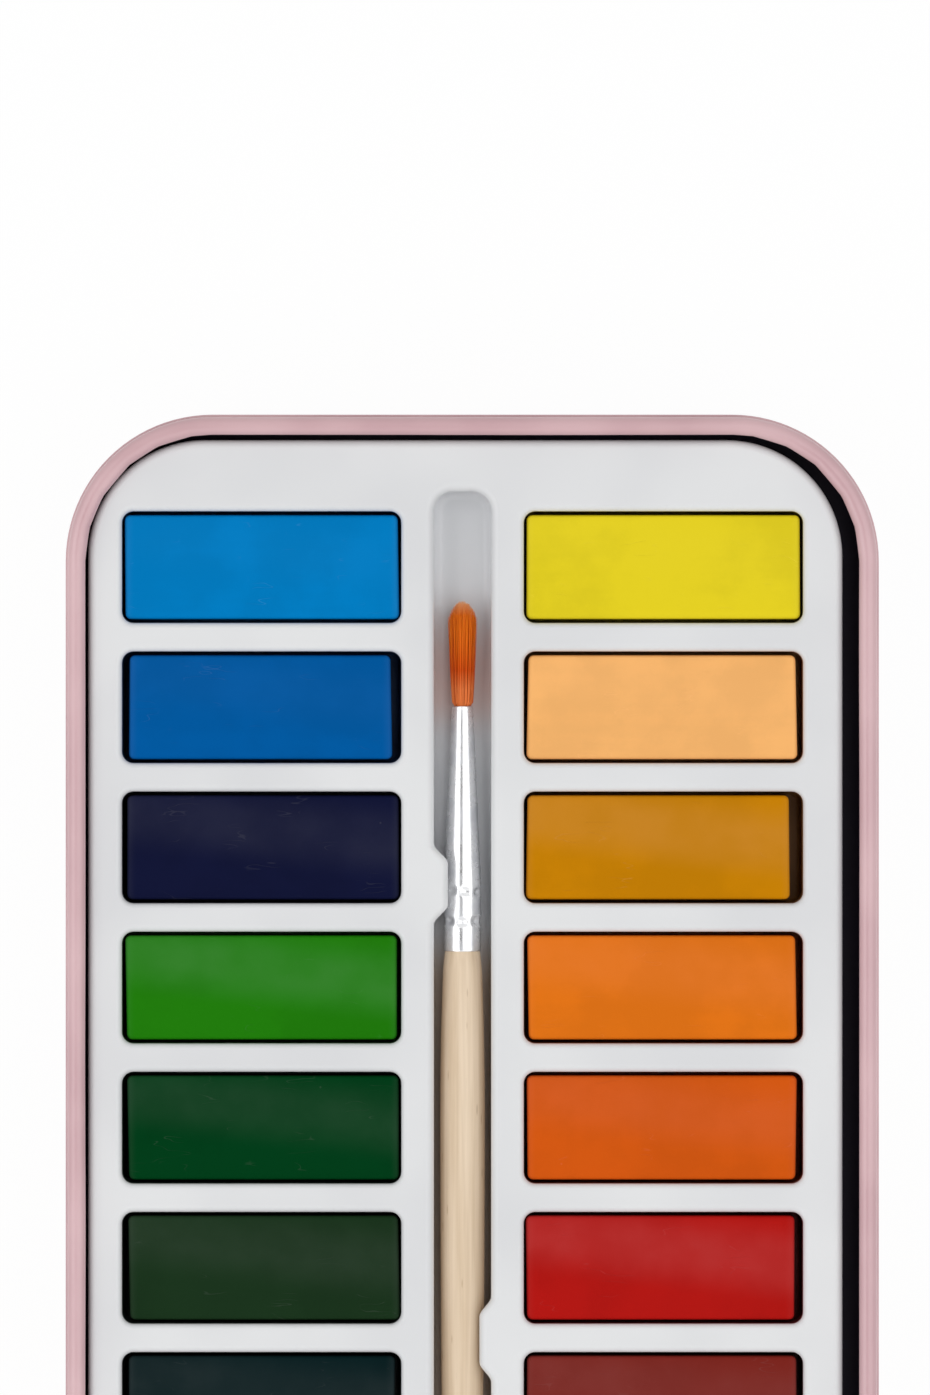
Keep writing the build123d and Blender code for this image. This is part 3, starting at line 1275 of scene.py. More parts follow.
@dataclass
class FormedTray(Assembly):
    """The formed tray: a deck with two columns of wells and a groove for the brush."""

    low: Vector
    high: Vector
    paints: dict[str, Paint]
    corner: float = 13.13 * MM
    corner_steps: int = 28
    sheet: float = 0.6 * MM
    outer_lip: float = 1.0 * MM
    # The sections of the blocks that cut the wells and the groove.
    lip_steps: int = 7
    foot_steps: int = 4
    wall_levels: tuple[float, ...] = (0.25, 0.5, 0.7, 0.85)
    level_pitch: float = 1.0 * MM
    cut_above: float = 2.0 * MM
    # The wells.
    well_lip: float = 0.7 * MM
    well_depth: float = 7.8 * MM
    well_length: float = 31.5 * MM
    well_width: float = 12.6 * MM
    well_corner: float = 1.3 * MM
    well_corner_steps: int = 7
    well_draft: float = 0.135 * MM
    floor_round: float = 0.45 * MM
    # The groove.
    groove_width: float = 6.45 * MM
    groove_margin: float = 5.8 * MM
    groove_depth: float = 6.3 * MM
    groove_corner: float = 2.2 * MM
    groove_corner_steps: int = 10
    groove_lip: float = 1.0 * MM
    groove_floor_round: float = 1.0 * MM
    # The pattern of the wells, formed a little to the left.
    forming_shift: float = -0.3 * MM
    columns: Pair = (-22.65 * MM, 22.65 * MM)
    rows: int = 9
    row_pitch: float = 15.8 * MM
    # The nubs, which reach full out down to one depth and draw back to another.
    nub_stations: int = 14
    nub_slope: float = 2.3 * MM
    nub_full: float = 1.75 * MM
    nub_low: float = 2.9 * MM
    nubs: dict[Side, Nub] = field(
        default_factory=lambda: {
            Side.LEFT: Nub(27.96 * MM, 4.6 * MM, 1.58 * MM, 0.95 * MM),
            Side.RIGHT: Nub(-23.4 * MM, 4.85 * MM, 1.32 * MM, 0.58 * MM),
        }
    )
    # The paint's colour on the wells, from a cake outwards: its staining, and the painted shade of
    # the gap beside it.
    stain_and_shade_reach: float = 2.2 * MM
    stain_and_shade_share: float = 0.45
    stain_and_shade_lift: float = 0.03
    unstained: Colour = (0.8, 0.8, 0.8, 0.0)
    smooth: float = 25.0

    @property
    def middle(self) -> Vector:
        """The tray's middle at the height of its deck, shifted as the pattern in it is."""
        centre = (self.low + self.high) / 2
        return Vector((centre.x + self.forming_shift, centre.y, self.high.z))

    @property
    def groove_plan(self) -> Plan:
        """The groove's outline at the top of its wall."""
        length = self.high.y - self.low.y - 2 * self.groove_margin
        return Plan(self.middle.x, self.middle.y, self.groove_width, length, self.groove_corner)

    def profile(self, depth: float, draft: float, foot: float, lip: float) -> Section:
        """List a wall's section from the middle of its floor to above the deck.

        Args:
            depth: The recess's depth.
            draft: How far the wall leans in towards its foot.
            foot: The radius between the floor and the wall.
            lip: The radius between the wall and the deck.

        Returns:
            Pairs of a height and how far the outline is grown there.
        """
        floor, wall_top = self.high.z - depth, self.high.z - lip
        straight = wall_top - floor - foot
        section = []
        for out, up in arc(90.0, self.foot_steps):
            section.append((floor + foot * up, -draft - foot * (1.0 - out)))
        for share in self.wall_levels:
            section.append((floor + foot + straight * share, -draft * (1.0 - share)))
        for up, out in arc(90.0, self.lip_steps):
            section.append((wall_top + lip * up, lip * out))
        return section + [(self.high.z + self.cut_above, lip)]

    def recess(self, name: str, plan: Plan, section: Section, corner_steps: int) -> Piece:
        """Build the block that a recess is cut with, still straight and open.

        Args:
            name: The block's name.
            plan: The recess's outline at the top of its wall.
            section: The heights and growths of its levels.
            corner_steps: How many edges each corner has.

        Returns:
            The block, its levels one level pitch apart from the deck's height up.
        """
        block = Bench.plate(name, self.high.z, plan, corner_steps)
        Bench.extrude(0.0, 0.0, (len(section) - 1) * self.level_pitch)
        Bench.face_out()
        Bench.pick_edges(lambda a, b: abs(a.z - b.z) > SLACK)
        bpy.ops.mesh.subdivide(number_cuts=len(section) - 2)
        return block

    def level_of(self, place: Vector, section: Section) -> Pair:
        """Give the height and the growth that a vertex of a straight block is meant for."""
        return section[round((place.z - self.high.z) / self.level_pitch)]

    def wells(self) -> Piece:
        """Build the block that cuts every well.

        Returns:
            The block.
        """
        first = self.middle.y + self.row_pitch * (self.rows - 1) / 2
        size = self.well_length, self.well_width, self.well_corner
        plan = Plan(self.middle.x + self.columns[0], first, *size)
        section = self.profile(self.well_depth, self.well_draft, self.floor_round, self.well_lip)
        block = self.recess("well_cutter", plan, section, self.well_corner_steps)

        def flared(place: Vector) -> Vector:
            """Move a level to its height and grow it."""
            level, growth = self.level_of(place, section)
            return plan.moved(place, growth, level)

        Bench.reshape(block, flared)
        across = self.columns[1] - self.columns[0]
        steps = (0.0, -self.row_pitch, 0.0), (across, 0.0, 0.0)
        for count, step in zip((self.rows, len(self.columns)), steps):
            Bench.apply(
                block,
                "ARRAY",
                count=count,
                use_relative_offset=False,
                use_constant_offset=True,
                constant_offset_displace=step,
            )
        return block

    def nub_reach(self, side: Side, along: float, level: float) -> float:
        """Give how far a nub stands in from the groove's wall.

        Args:
            side: The wall.
            along: The place along the groove.
            level: The height.

        Returns:
            Its reach there, drawn back lower down so that it clears the brush.
        """
        nub = self.nubs[side]
        rise = smoothstep((nub.half - abs(along - nub.middle)) / self.nub_slope)
        drop = self.high.z - level
        upper = smoothstep((self.nub_low - drop) / (self.nub_low - self.nub_full))
        return rise * (nub.foot + (nub.reach - nub.foot) * upper)

    def station(self, side: Side, step: int) -> float:
        """Give where along the groove a cut of its wall is moved, to shape a nub's slopes.

        Args:
            side: The wall.
            step: The cut's number from the front.

        Returns:
            Its place on the nub's front slope or, for the second half of the cuts, its back one.
        """
        nub, count = self.nubs[side], self.nub_stations
        front = step <= count
        share = (step - 1 if front else 2 * count - step) / (count - 1)
        return nub.middle + (-1 if front else 1) * (nub.half - share * self.nub_slope)

    def groove(self) -> Piece:
        """Build the block that cuts the brush's groove, notched for the two nubs.

        Returns:
            The block.
        """
        plan = self.groove_plan
        section = self.profile(self.groove_depth, 0.0, self.groove_floor_round, self.groove_lip)
        block = self.recess("groove_cutter", plan, section, self.groove_corner_steps)
        cuts = 2 * self.nub_stations
        # The two long walls are cut across, and their cuts then gather at the nubs' slopes.
        Bench.pick_edges(lambda a, b: abs(a.y - b.y) > plan.length / 2)
        bpy.ops.mesh.subdivide(number_cuts=cuts)
        straight = plan.length - 2 * self.groove_corner
        pitch = straight / (cuts + 1)
        start = self.middle.y - straight / 2

        def notched(place: Vector) -> Vector:
            """Move a level to its height, grow it and let the nubs stand in.

            Args:
                place: A vertex of the block.

            Returns:
                Its new place.
            """
            level, growth = self.level_of(place, section)
            out = plan.outward(place)
            step = round((place.y - start) / pitch)
            if abs(out.y) < SQUARE and 0 < step <= cuts:
                side = Side.LEFT if out.x < 0 else Side.RIGHT
                place.y = self.station(side, step)
                growth -= self.nub_reach(side, place.y, level)
            return plan.moved(place, growth, level)

        Bench.reshape(block, notched)
        return block

    def build(self) -> Iterator[Piece]:
        """Build the tray.

        Yields:
            The tray.
        """
        plan = Plan.of(self.low, self.high, self.corner)
        tray = Bench.plate("formed_tray", self.low.z, plan, self.corner_steps)
        Bench.extrude(0.0, 0.0, self.high.z - self.low.z)
        Bench.face_out()
        top = self.high.z - SLACK
        Bench.round_edges(lambda a, b: min(a.z, b.z) > top, self.outer_lip, self.lip_steps)
        for cutter in (self.wells(), self.groove()):
            Bench.apply(tray, "BOOLEAN", operation="DIFFERENCE", object=cutter, solver="EXACT")
            bpy.data.objects.remove(cutter)
        Bench.open(tray)
        foot = self.low.z + SLACK
        Bench.pick_faces(lambda middle, normal: middle.z < foot and normal.z < -LEVEL)
        bpy.ops.mesh.delete(type="FACE")
        Bench.apply(tray, "SOLIDIFY", thickness=self.sheet, offset=-1.0)
        Bench.smooth(tray, self.smooth)
        Bench.apply(tray, "WEIGHTED_NORMAL", keep_sharp=True)
        self.stain_and_shade(tray)
        finish = TrayWhite(self.high.z, self.groove_plan).material()
        yield self.dress(tray, "tray", "tray_white", ("tray",), finish)

    def stain_and_shade(self, tray: Piece) -> None:
        """Note on the tray's vertices which paint's colour tints them: its staining, and the
        painted shade and bounce of the gap beside its cake.

        Args:
            tray: The tray.
        """
        tints = tray.data.color_attributes.new(TrayWhite.stain_and_shade, "FLOAT_COLOR", "POINT")
        wells = []
        for node, paint in self.paints.items():
            low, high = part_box(node)
            # Darkened paint colour, for the paint's staining and for painted shade in the gap
            # beside the cake.
            dark = toned(paint.colour, self.stain_and_shade_share, self.stain_and_shade_lift)
            wells.append((Plan.of(low, high, 0.0).grown(self.stain_and_shade_reach), dark))
        for vertex, tint in zip(tray.data.vertices, tints.data):
            tint.color = self.unstained
            for plan, dark in wells:
                off_x, off_y = abs(vertex.co.x - plan.x), abs(vertex.co.y - plan.y)
                if off_x < plan.width / 2 and off_y < plan.length / 2:
                    tint.color = dark


@dataclass
class PaintCakes(Assembly):
    """The loose cakes of paint, one to a well."""

    paints: dict[str, Paint]
    corner: float = 0.6 * MM
    corner_steps: int = 5
    top_round: float = 0.4 * MM
    top_steps: int = 5
    foot_round: float = 0.3 * MM
    foot_steps: int = 2
    # Steps inwards from the rounded edge, and the rise of each.
    crown: tuple[Pair, ...] = (
        (0.5 * MM, 0.045 * MM),
        (0.9 * MM, 0.03 * MM),
        (1.3 * MM, 0.012 * MM),
    )
    lean: float = 0.13 * MM
    lean_power: int = 3
    # Wear on the upper edge, from a share of the height up.
    wear_start: float = 0.75
    wear_pitch: float = 260.0
    wear_depth: float = 0.05 * MM
    crown_wear: float = 0.4
    smooth: float = 40.0
    seed: int = 7

    def build(self) -> Iterator[Piece]:
        """Build every cake.

        Yields:
            The cakes, one after the other.
        """
        draw = random.Random(self.seed)
        for node, paint in self.paints.items():
            leans = draw.uniform(-self.lean, self.lean), draw.uniform(-self.lean, self.lean)
            name = node.replace("cake_", "paint_")
            low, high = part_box(node)
            cake = self.cake(name + "_block", low, high, leans)
            finish = CakePaint(name, paint).material(low, high)
            yield self.dress(cake, name, name, (node,), finish)

    def cake(self, name: str, low: Vector, high: Vector, leans: Pair) -> Piece:
        """Cast one cake.

        Args:
            name: The piece's name.
            low: The lowest corner of its node.
            high: The highest corner of its node.
            leans: How far the left and the right end are off square.

        Returns:
            The cake.
        """
        plan = Plan.of(low, high, self.corner)
        edge = high.z - sum(rise for _, rise in self.crown)
        cake = Bench.plate(name, low.z, plan, self.corner_steps)
        Bench.extrude(0.0, 0.0, edge - low.z)
        Bench.face_out()
        top, foot = edge - SLACK, low.z + SLACK
        Bench.round_edges(lambda a, b: min(a.z, b.z) > top, self.top_round, self.top_steps)
        Bench.round_edges(lambda a, b: max(a.z, b.z) < foot, self.foot_round, self.foot_steps)
        Bench.pick_faces(lambda middle, normal: middle.z > top and normal.z > LEVEL)
        width, length = plan.width - 2 * self.top_round, plan.length - 2 * self.top_round
        level = edge
        for step, rise in self.crown:
            Bench.extrude(0.0, 0.0, rise)
            level += rise
            share = (1.0 - 2 * step / width, 1.0 - 2 * step / length, 1.0)
            bpy.ops.transform.resize(value=share, center_override=(plan.x, plan.y, level))
            width, length = width - 2 * step, length - 2 * step

        def off_square(place: Vector) -> Vector:
            """Lean the ends and wear the upper edge a little.

            Args:
                place: A vertex of the cake.

            Returns:
                Its new place.
            """
            along = (place.x - plan.x) / (plan.width / 2)
            across = (place.y - plan.y) / (plan.length / 2)
            lean = leans[0] if along < 0 else leans[1]
            place.x += lean * across * abs(along) ** self.lean_power
            height = (place.z - low.z) / (edge - low.z)
            upper = smoothstep((height - self.wear_start) / (1.0 - self.wear_start))
            wear = abs(noise.noise(place * self.wear_pitch) * self.wear_depth * upper)
            place.z -= wear * (1.0 if place.z < high.z - SLACK else self.crown_wear)
            return place

        Bench.reshape(cake, off_square)
        Bench.smooth(cake, self.smooth)
        return cake


@dataclass
class Brush(Assembly):
    """The round brush: a turned handle, a crimped ferrule and a tuft of hair."""

    handle: tuple[Vector, Vector]
    ferrule: tuple[Vector, Vector]
    hair: tuple[Vector, Vector]
    sides: int = 56
    # The handle.
    waist_radius: float = 2.35 * MM
    waist_back: float = 50.1 * MM
    belly_back: float = 18.4 * MM
    butt_radius: float = 1.4 * MM
    butt_round: float = 1.2 * MM
    butt_steps: int = 7
    handle_steps: int = 44
    tenon_length: float = 2.0 * MM
    tenon_step: float = 0.4 * MM
    seat_gap: float = 0.02 * MM
    seat_round: float = 0.12 * MM
    # How far out of round the wood is sanded.
    sanding: float = 0.008
    sanding_pitch: Triple = (300.0, 60.0, 300.0)
    sanding_start: float = 1.0 * MM
    # The ferrule: its collar, its cone and its rolled mouth.
    collar: float = 7.8 * MM
    collar_steps: int = 46
    collar_end: Pair = (0.06 * MM, 0.05 * MM)
    cone_steps: int = 14
    mouth_radius: float = 1.2 * MM
    mouth_lip: float = 0.12 * MM
    mouth_steps: int = 5
    mouth_bore: float = 0.92 * MM
    bore_depth: float = 0.6 * MM
    # The crimps, pressed by the jaws of a tool, and the ridges beside them.
    crimps: tuple[float, ...] = (3.4 * MM, 6.8 * MM)
    crimp_depth: float = 0.34 * MM
    crimp_width: float = 0.4 * MM
    crimp_wander: float = 0.1 * MM
    crimp_waves: int = 3
    crimp_phase: float = 2.0
    jaws: int = 8
    jaw_press: Pair = (0.55, 0.45)
    jaw_phase: float = 1.3
    ridge_off: float = 1.6
    ridge_sharp: float = 1.8
    ridge_height: float = 0.05 * MM
    ridge_limit: float = 0.03 * MM
    ferrule_smooth: float = 40.0
    # The strands.
    strands: int = 900
    strand_sides: int = 4
    strand_levels: tuple[float, ...] = (0.09, 0.13, 0.3, 0.5, 0.68, 0.82, 0.93, 1.0)
    strand_radius: float = 0.032 * MM
    strand_start: float = -1.0 * MM
    strand_twist: float = 0.15
    strand_sway: float = 0.035 * MM
    strand_bends: float = 1.5
    stray: float = 2.4
    stray_power: int = 4
    taper: float = 0.8
    taper_start: float = 0.6
    taper_power: float = 1.5
    # The tuft's outline: millimetres out of the mouth, and the width there.
    tuft_root: float = 0.87 * MM
    tuft_profile: tuple[Pair, ...] = (
        (-1.0, 0.98),
        (0.0, 1.0),
        (0.45, 1.34),
        (3.0, 1.46),
        (6.5, 1.64),
        (9.4, 1.8),
        (10.9, 1.75),
        (11.9, 1.42),
    )
    tip_dome: float = 1.8 * MM
    tip_power: float = 3.2
    tip_fray: float = 0.35 * MM
    seed: int = 11

    @property
    def axis(self) -> Vector:
        """A point on the brush's axis."""
        low, high = self.ferrule
        return Vector(((low.x + high.x) / 2, 0.0, (low.z + high.z) / 2))

    @property
    def seat(self) -> float:
        """Where the ferrule ends on the handle."""
        return self.ferrule[0].y

    @property
    def mouth(self) -> float:
        """Where the hair comes out of the ferrule."""
        return self.ferrule[1].y

    def spoke(self, place: Vector) -> Vector:
        """Give the way straight out from the brush's axis to a place."""
        return Vector((place.x - self.axis.x, 0.0, place.z - self.axis.z))

    def build(self) -> Iterator[Piece]:
        """Build the brush.

        Yields:
            The handle, the ferrule and the hair.
        """
        wood, metal, hair = BareWood().material(), BrightMetal().material(), OrangeHair().material()
        handle, ferrule = self.turned_handle(), self.crimped_ferrule()
        yield self.dress(handle, "brush", "bare_wood", ("brush_handle",), wood)
        yield self.dress(ferrule, "brush", "ferrule_metal", ("brush_ferrule",), metal)
        yield self.dress(self.tuft(), "brush", "orange_hair", ("brush_bristles",), hair)

    def turn(self, name: str, stations: Section) -> Piece:
        """Turn a round piece along the brush's axis.

        Args:
            name: The piece's name.
            stations: Places along the brush and the radius at each.

        Returns:
            The piece, closed at both ends and still open in edit mode.
        """
        axis = self.axis
        (place, radius), *rest = stations
        piece = Bench.disc(name, Vector((axis.x, place, axis.z)), radius, self.sides)
        for station, size in rest:
            Bench.extrude(0.0, station - place, 0.0)
            centre = (axis.x, station, axis.z)
            share = size / radius
            bpy.ops.transform.resize(value=(share, 1.0, share), center_override=centre)
            place, radius = station, size
        Bench.face_out()
        return piece

    def turned_handle(self) -> Piece:
        """Turn the wooden handle from the ferrule's end to its butt.

        Returns:
            The handle.
        """
        low, high = self.handle
        belly = (high.x - low.x) / 2
        collar = (self.ferrule[1].x - self.ferrule[0].x) / 2
        length = self.seat - low.y
        slope = -2 * (belly - self.waist_radius) / (self.waist_back - self.belly_back)
        tail = length - self.waist_back
        fall = (self.waist_radius - self.butt_radius + slope * tail) / tail**2

        def radius_at(back: float) -> float:
            """Work out the handle's radius.

            Args:
                back: The distance behind the ferrule's end.

            Returns:
                The radius there.
            """
            if back < self.belly_back:
                share = (self.belly_back - back) / self.belly_back
                return belly - (belly - collar) * share**2
            if back < self.waist_back:
                share = (back - self.belly_back) / (self.waist_back - self.belly_back)
                return belly - (belly - self.waist_radius) * share**2
            rest = back - self.waist_back
            return self.waist_radius + slope * rest - fall * rest**2

        tenon = collar - self.tenon_step
        stations = [
            (self.seat + self.tenon_length, tenon),
            (self.seat + self.seat_gap, tenon),
            (self.seat, collar - self.seat_round),
        ]
        body = length - self.butt_round
        for step in range(1, self.handle_steps + 1):
            back = body * step / self.handle_steps
            stations.append((self.seat - back, radius_at(max(self.seat_round, back))))
        shoulder = radius_at(body)
        for along, inward in arc(90.0, self.butt_steps, 1):
            back = body + self.butt_round * along
            stations.append((self.seat - back, shoulder - self.butt_round * inward))
        handle = self.turn("turned_handle", stations)

        def sanded(place: Vector) -> Vector:
            """Leave the wood very slightly out of round.

            Args:
                place: A vertex of the handle.

            Returns:
                Its new place, or the old one on the tenon.
            """
            spoke = self.spoke(place)
            across, along, upward = self.sanding_pitch
            spot = Vector((spoke.x * across, place.y * along, spoke.z * upward))
            uneven = noise.noise(spot) * self.sanding
            return place + spoke * uneven if place.y < self.seat - self.sanding_start else place

        Bench.reshape(handle, sanded)
        Bench.smooth(handle)
        return handle

    def crimped_ferrule(self) -> Piece:
        """Draw the ferrule as a tube with a rolled mouth, then crimp its collar.

        Returns:
            The ferrule.
        """
        low, high = self.ferrule
        radius = (high.x - low.x) / 2
        end_length, end_step = self.collar_end
        stations = [(low.y, radius - end_step), (low.y + end_length, radius)]
        for step in range(1, self.collar_steps + 1):
            stations.append((low.y + self.collar * step / self.collar_steps, radius))
        cone = high.y - self.mouth_lip - low.y - self.collar
        for step in range(1, self.cone_steps + 1):
            share = step / self.cone_steps
            size = radius + (self.mouth_radius - radius) * share
            stations.append((low.y + self.collar + cone * share, size))
        for along, inward in arc(180.0, self.mouth_steps, 1):
            place = high.y - self.mouth_lip + self.mouth_lip * along
            stations.append((place, self.mouth_radius - self.mouth_lip * inward))
        stations.append((high.y - self.bore_depth, self.mouth_bore))
        ferrule = self.turn("crimped_ferrule", stations)

        def pressed(place: Vector) -> Vector:
            """Press the crimps in, deeper at the jaws of the tool than between them.

            Args:
                place: A vertex of the ferrule.

            Returns:
                Its new place.
            """
            spoke = self.spoke(place)
            turn = math.atan2(spoke.z, spoke.x)
            press, swing = self.jaw_press
            inward = 0.0
            for number, crimp in enumerate(self.crimps):
                wave = math.sin(self.crimp_waves * turn + self.crimp_phase * number)
                off = (place.y - low.y - crimp - self.crimp_wander * wave) / self.crimp_width
                bite = press + swing * math.cos(self.jaws * turn + self.jaw_phase * number)
                inward += self.crimp_depth * bite * math.exp(-off * off)
                ridge = (abs(off) - self.ridge_off) * self.ridge_sharp
                inward -= self.ridge_height * math.exp(-ridge * ridge)
            return place - spoke.normalized() * max(inward, -self.ridge_limit)

        Bench.reshape(ferrule, pressed)
        Bench.smooth(ferrule, self.ferrule_smooth)
        return ferrule

    def spread(self, out: float) -> float:
        """Work out how wide the tuft has spread.

        Args:
            out: The distance out of the ferrule's mouth.

        Returns:
            Its width there, where it is 1 at the mouth.
        """
        for (near, small), (far, large) in zip(self.tuft_profile, self.tuft_profile[1:]):
            if out <= far * MM:
                return small + (large - small) * (out / MM - near) / (far - near)
        return self.tuft_profile[-1][1]

    def tuft(self) -> Piece:
        """Set the strands of the tuft, all copies of one.

        Returns:
            The tuft.
        """
        pattern = Bench.disc("strand", Vector((0.0, 0.0, 0.0)), 1.0, self.strand_sides)
        place = 0.0
        for level in self.strand_levels:
            Bench.extrude(0.0, level - place, 0.0)
            place = level
        Bench.face_out()
        Bench.clear()
        draw = random.Random(self.seed)
        copies = []
        for number in range(self.strands):
            strand = bpy.data.objects.new(f"strand_{number}", pattern.data.copy())
            bpy.context.collection.objects.link(strand)
            self.lay(strand, draw, number)
            copies.append(strand)
        bpy.data.objects.remove(pattern)
        return Bench.join("hair_tuft", copies)

    def lay(self, strand: Piece, draw: random.Random, number: int) -> None:
        """Lay one strand in its place in the tuft.

        Args:
            strand: The copy, a unit long and a unit in radius.
            draw: Where its small differences come from.
            number: Its number, which gives its place in the root.
        """
        axis = self.axis
        length = self.hair[1].y - self.mouth
        ring = math.sqrt((number + 0.5) / self.strands)
        golden = math.pi * (3 - math.sqrt(5))
        turn = number * golden + draw.uniform(-self.strand_twist, self.strand_twist)
        root = Vector((math.cos(turn), 0.0, math.sin(turn))) * ring * self.tuft_root
        reach = length - self.tip_dome * ring**self.tip_power - draw.uniform(0.0, self.tip_fray)
        sway = Vector((draw.gauss(0, 1), 0.0, draw.gauss(0, 1))) * self.strand_sway
        tone = draw.random()
        stray = 1.0 + self.stray * ring**self.stray_power
        tints = strand.data.color_attributes.new(OrangeHair.tone, "FLOAT_COLOR", "POINT")
        for vertex, tint in zip(strand.data.vertices, tints.data):
            share = vertex.co.y
            out = self.strand_start + (reach - self.strand_start) * share
            narrowed = max(0.0, (share - self.taper_start) / (1.0 - self.taper_start))
            radius = self.strand_radius * (1.0 - self.taper * narrowed**self.taper_power)
            bend = sway * (math.sin(share * math.pi * self.strand_bends) + stray * share * share)
            spot = root * self.spread(out) + bend
            offset = Vector((vertex.co.x, 0.0, vertex.co.z)) * radius
            vertex.co = Vector((axis.x, self.mouth + out, axis.z)) + spot + offset
            tint.color = (max(0.0, out / length), tone, 0.0, 1.0)


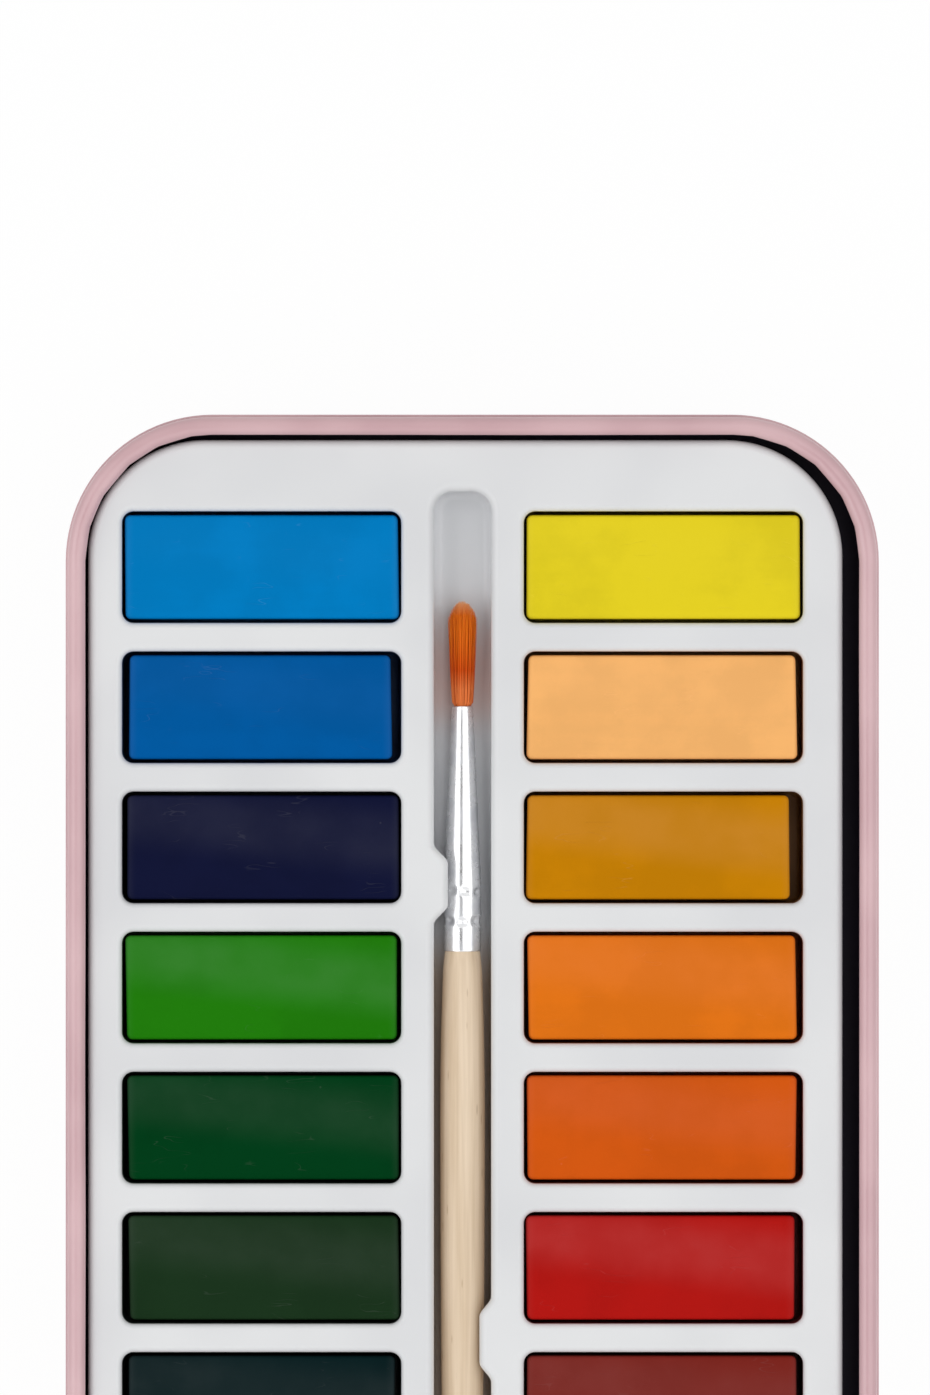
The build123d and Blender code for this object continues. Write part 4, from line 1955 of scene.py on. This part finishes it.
@dataclass
class Studio:
    """A pale floor, two soft boxes with a dark card between them, and the camera."""

    deck: float
    # The camera.
    look_x: float = -0.82 * MM
    look_y: float = 49.0 * MM
    view_height: float = 157.2 * MM
    lens: float = 300.0
    sensor: float = 36.0
    nearest: float = 0.01
    farthest: float = 10.0
    # The world and the floor.
    fill: float = 0.52
    floor_size: float = 8.0
    floor_drop: float = 0.02 * MM
    floor_white: Colour = shown(243, 243, 243)
    floor_share: float = 0.96
    # The soft boxes and the card between them.
    boxes: tuple[SoftBox, ...] = (
        SoftBox("soft_box_left", 39.0, 0.64, 1.6),
        SoftBox("soft_box_right", -32.0, 0.9, 1.08),
    )
    box_length: float = 1.0
    box_away: float = 0.8
    box_front: float = -0.1
    card_lean: float = 9.0
    card_width: float = 0.3
    card_length: float = 0.5
    card_away: float = 0.74
    card_grey: Colour = shown(40, 40, 42)

    def build(self) -> None:
        """Build the floor, the lights, the world and the camera."""
        self.floor()
        self.world()
        for box in self.boxes:
            self.soft_box(box)
        self.gap_card()
        self.camera()

    def seen(self, sheet: NodeSheet) -> Signal:
        """Tell the rays of the camera, of gloss and of glass from the others.

        Args:
            sheet: The node sheet of the floor or the world.

        Returns:
            A value of 1 for those rays and 0 for the others.
        """
        camera = sheet.node("ShaderNodeLightPath", None, None, "Is Camera Ray")
        gloss, glass = (camera.beside(f"Is {kind} Ray") for kind in ("Glossy", "Transmission"))
        return sheet.math("MINIMUM", camera + gloss + glass, 1.0)

    def over(self, lean: float, away: float, along: float) -> tuple[Triple, Triple]:
        """Work out a place over the set and the turn that faces it.

        Args:
            lean: How far left of straight up the place lies, in degrees.
            away: Its distance.
            along: Its place along the tin.

        Returns:
            The place and the turn.
        """
        turn = math.radians(lean)
        return (-math.sin(turn) * away, along, math.cos(turn) * away), (0.0, -turn, 0.0)

    def floor(self) -> None:
        """Lay the white floor, which keeps only a faint part of the set's shadow."""
        Bench.clear()
        size = self.floor_size
        bpy.ops.mesh.primitive_plane_add(size=size, location=(0.0, 0.0, -self.floor_drop))
        floor = Bench.settle("floor")
        sheet = NodeSheet.fresh("floor_white")
        matt = sheet.node("ShaderNodeBsdfDiffuse", None, {"Color": self.floor_white})
        glow = sheet.node("ShaderNodeEmission", None, {"Color": WHITE, "Strength": 1.0})
        share = self.seen(sheet) * self.floor_share
        mixed = sheet.node("ShaderNodeMixShader", None, {0: share, 1: matt, 2: glow})
        sheet.node("ShaderNodeOutputMaterial", None, {"Surface": mixed})
        floor.data.materials.append(sheet.owner)
        floor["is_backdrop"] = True

    def world(self) -> None:
        """Light the set softly from all round."""
        world = bpy.data.worlds.new("studio")
        bpy.context.scene.world = world
        sheet = NodeSheet(world)
        strength = self.seen(sheet) * (1.0 - self.fill) + self.fill
        inputs = {"Color": WHITE, "Strength": strength}
        background = sheet.node("ShaderNodeBackground", None, inputs)
        sheet.node("ShaderNodeOutputWorld", None, {"Surface": background})

    def soft_box(self, box: SoftBox) -> None:
        """Hang a soft box over the set.

        Args:
            box: Its name, place, width and brightness.
        """
        lamp = bpy.data.lights.new(box.name, "AREA")
        lamp.shape, lamp.size, lamp.size_y = "RECTANGLE", box.width, self.box_length
        lamp.energy = box.level * math.pi * box.width * self.box_length
        hung = bpy.data.objects.new(box.name, lamp)
        bpy.context.collection.objects.link(hung)
        hung.location, hung.rotation_euler = self.over(box.lean, self.box_away, self.box_front)
        hung.visible_camera = False

    def gap_card(self) -> None:
        """Hang a dark card in the gap between the soft boxes."""
        Bench.clear()
        place, turn = self.over(self.card_lean, self.card_away, 0.0)
        bpy.ops.mesh.primitive_plane_add(size=1.0, location=place, rotation=turn)
        bpy.context.object.scale = (self.card_width, self.card_length, 1.0)
        card = Bench.settle("gap_card")
        sheet = NodeSheet.fresh("card_grey")
        matt = sheet.node("ShaderNodeBsdfDiffuse", None, {"Color": self.card_grey})
        sheet.node("ShaderNodeOutputMaterial", None, {"Surface": matt})
        card.data.materials.append(sheet.owner)
        card.visible_camera = False
        card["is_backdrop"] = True

    def camera(self) -> None:
        """Set the camera straight above the tin, framed as the photograph is."""
        data = bpy.data.cameras.new("camera")
        data.lens, data.sensor_width = self.lens, self.sensor
        data.clip_start, data.clip_end = self.nearest, self.farthest
        camera = bpy.data.objects.new("camera", data)
        bpy.context.collection.objects.link(camera)
        away = self.view_height * self.lens / self.sensor
        camera.location = (self.look_x, self.look_y, self.deck + away)
        bpy.context.scene.camera = camera
        bpy.context.scene.view_settings.view_transform = "Standard"


# The cakes by their CAD nodes, the left column and then the right one, from the hair's end.
PAINTS: dict[str, Paint] = {
    "cake_sky_blue": Paint(shown(0, 121, 188), 0.06),
    "cake_cobalt_blue": Paint(shown(0, 86, 155), 0.1),
    "cake_indigo": Paint(shown(16, 20, 50)),
    "cake_leaf_green": Paint(shown(31, 118, 10), 1.0),
    "cake_dark_green": Paint(shown(0, 57, 23)),
    "cake_olive_green": Paint(shown(25, 49, 27)),
    "cake_prussian_teal": Paint(shown(8, 29, 31)),
    "cake_payne_grey": Paint(shown(34, 40, 50)),
    "cake_ivory_black": Paint(shown(20, 19, 20)),
    "cake_lemon_yellow": Paint(shown(222, 202, 34), 0.1),
    "cake_peach": Paint(shown(240, 177, 107), 0.2),
    "cake_ochre": Paint(shown(192, 124, 4), 0.8),
    "cake_orange": Paint(shown(219, 112, 22), 0.6),
    "cake_vermilion": Paint(shown(204, 85, 17)),
    "cake_scarlet": Paint(shown(171, 22, 18), 1.0),
    "cake_carmine": Paint(shown(118, 35, 28), 0.7),
    "cake_burnt_sienna": Paint(shown(100, 41, 20)),
    "cake_umber": Paint(shown(58, 38, 28)),
}


def main() -> None:
    """Build every assembly of the set in order and report each piece."""
    logging.basicConfig(level=logging.INFO, format="%(name)s: %(message)s")
    brush = (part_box("brush_handle"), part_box("brush_ferrule"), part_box("brush_bristles"))
    assemblies = (
        TinLid(*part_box("lid_shell")),
        TinBase(*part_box("base_shell")),
        FormedTray(*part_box("tray"), PAINTS),
        PaintCakes(PAINTS),
        Brush(*brush),
    )
    for assembly in assemblies:
        for piece in assembly.build():
            log.info("%s: %d faces", piece.name, len(piece.data.polygons))
    Studio(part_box("tray")[1].z).build()
    Bench.clear()
    boxes = {"cad": cad_box, "visual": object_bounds()}
    {name: [list(corner) for corner in box] for name, box in boxes.items()}


if __name__ == "__main__":
    main()
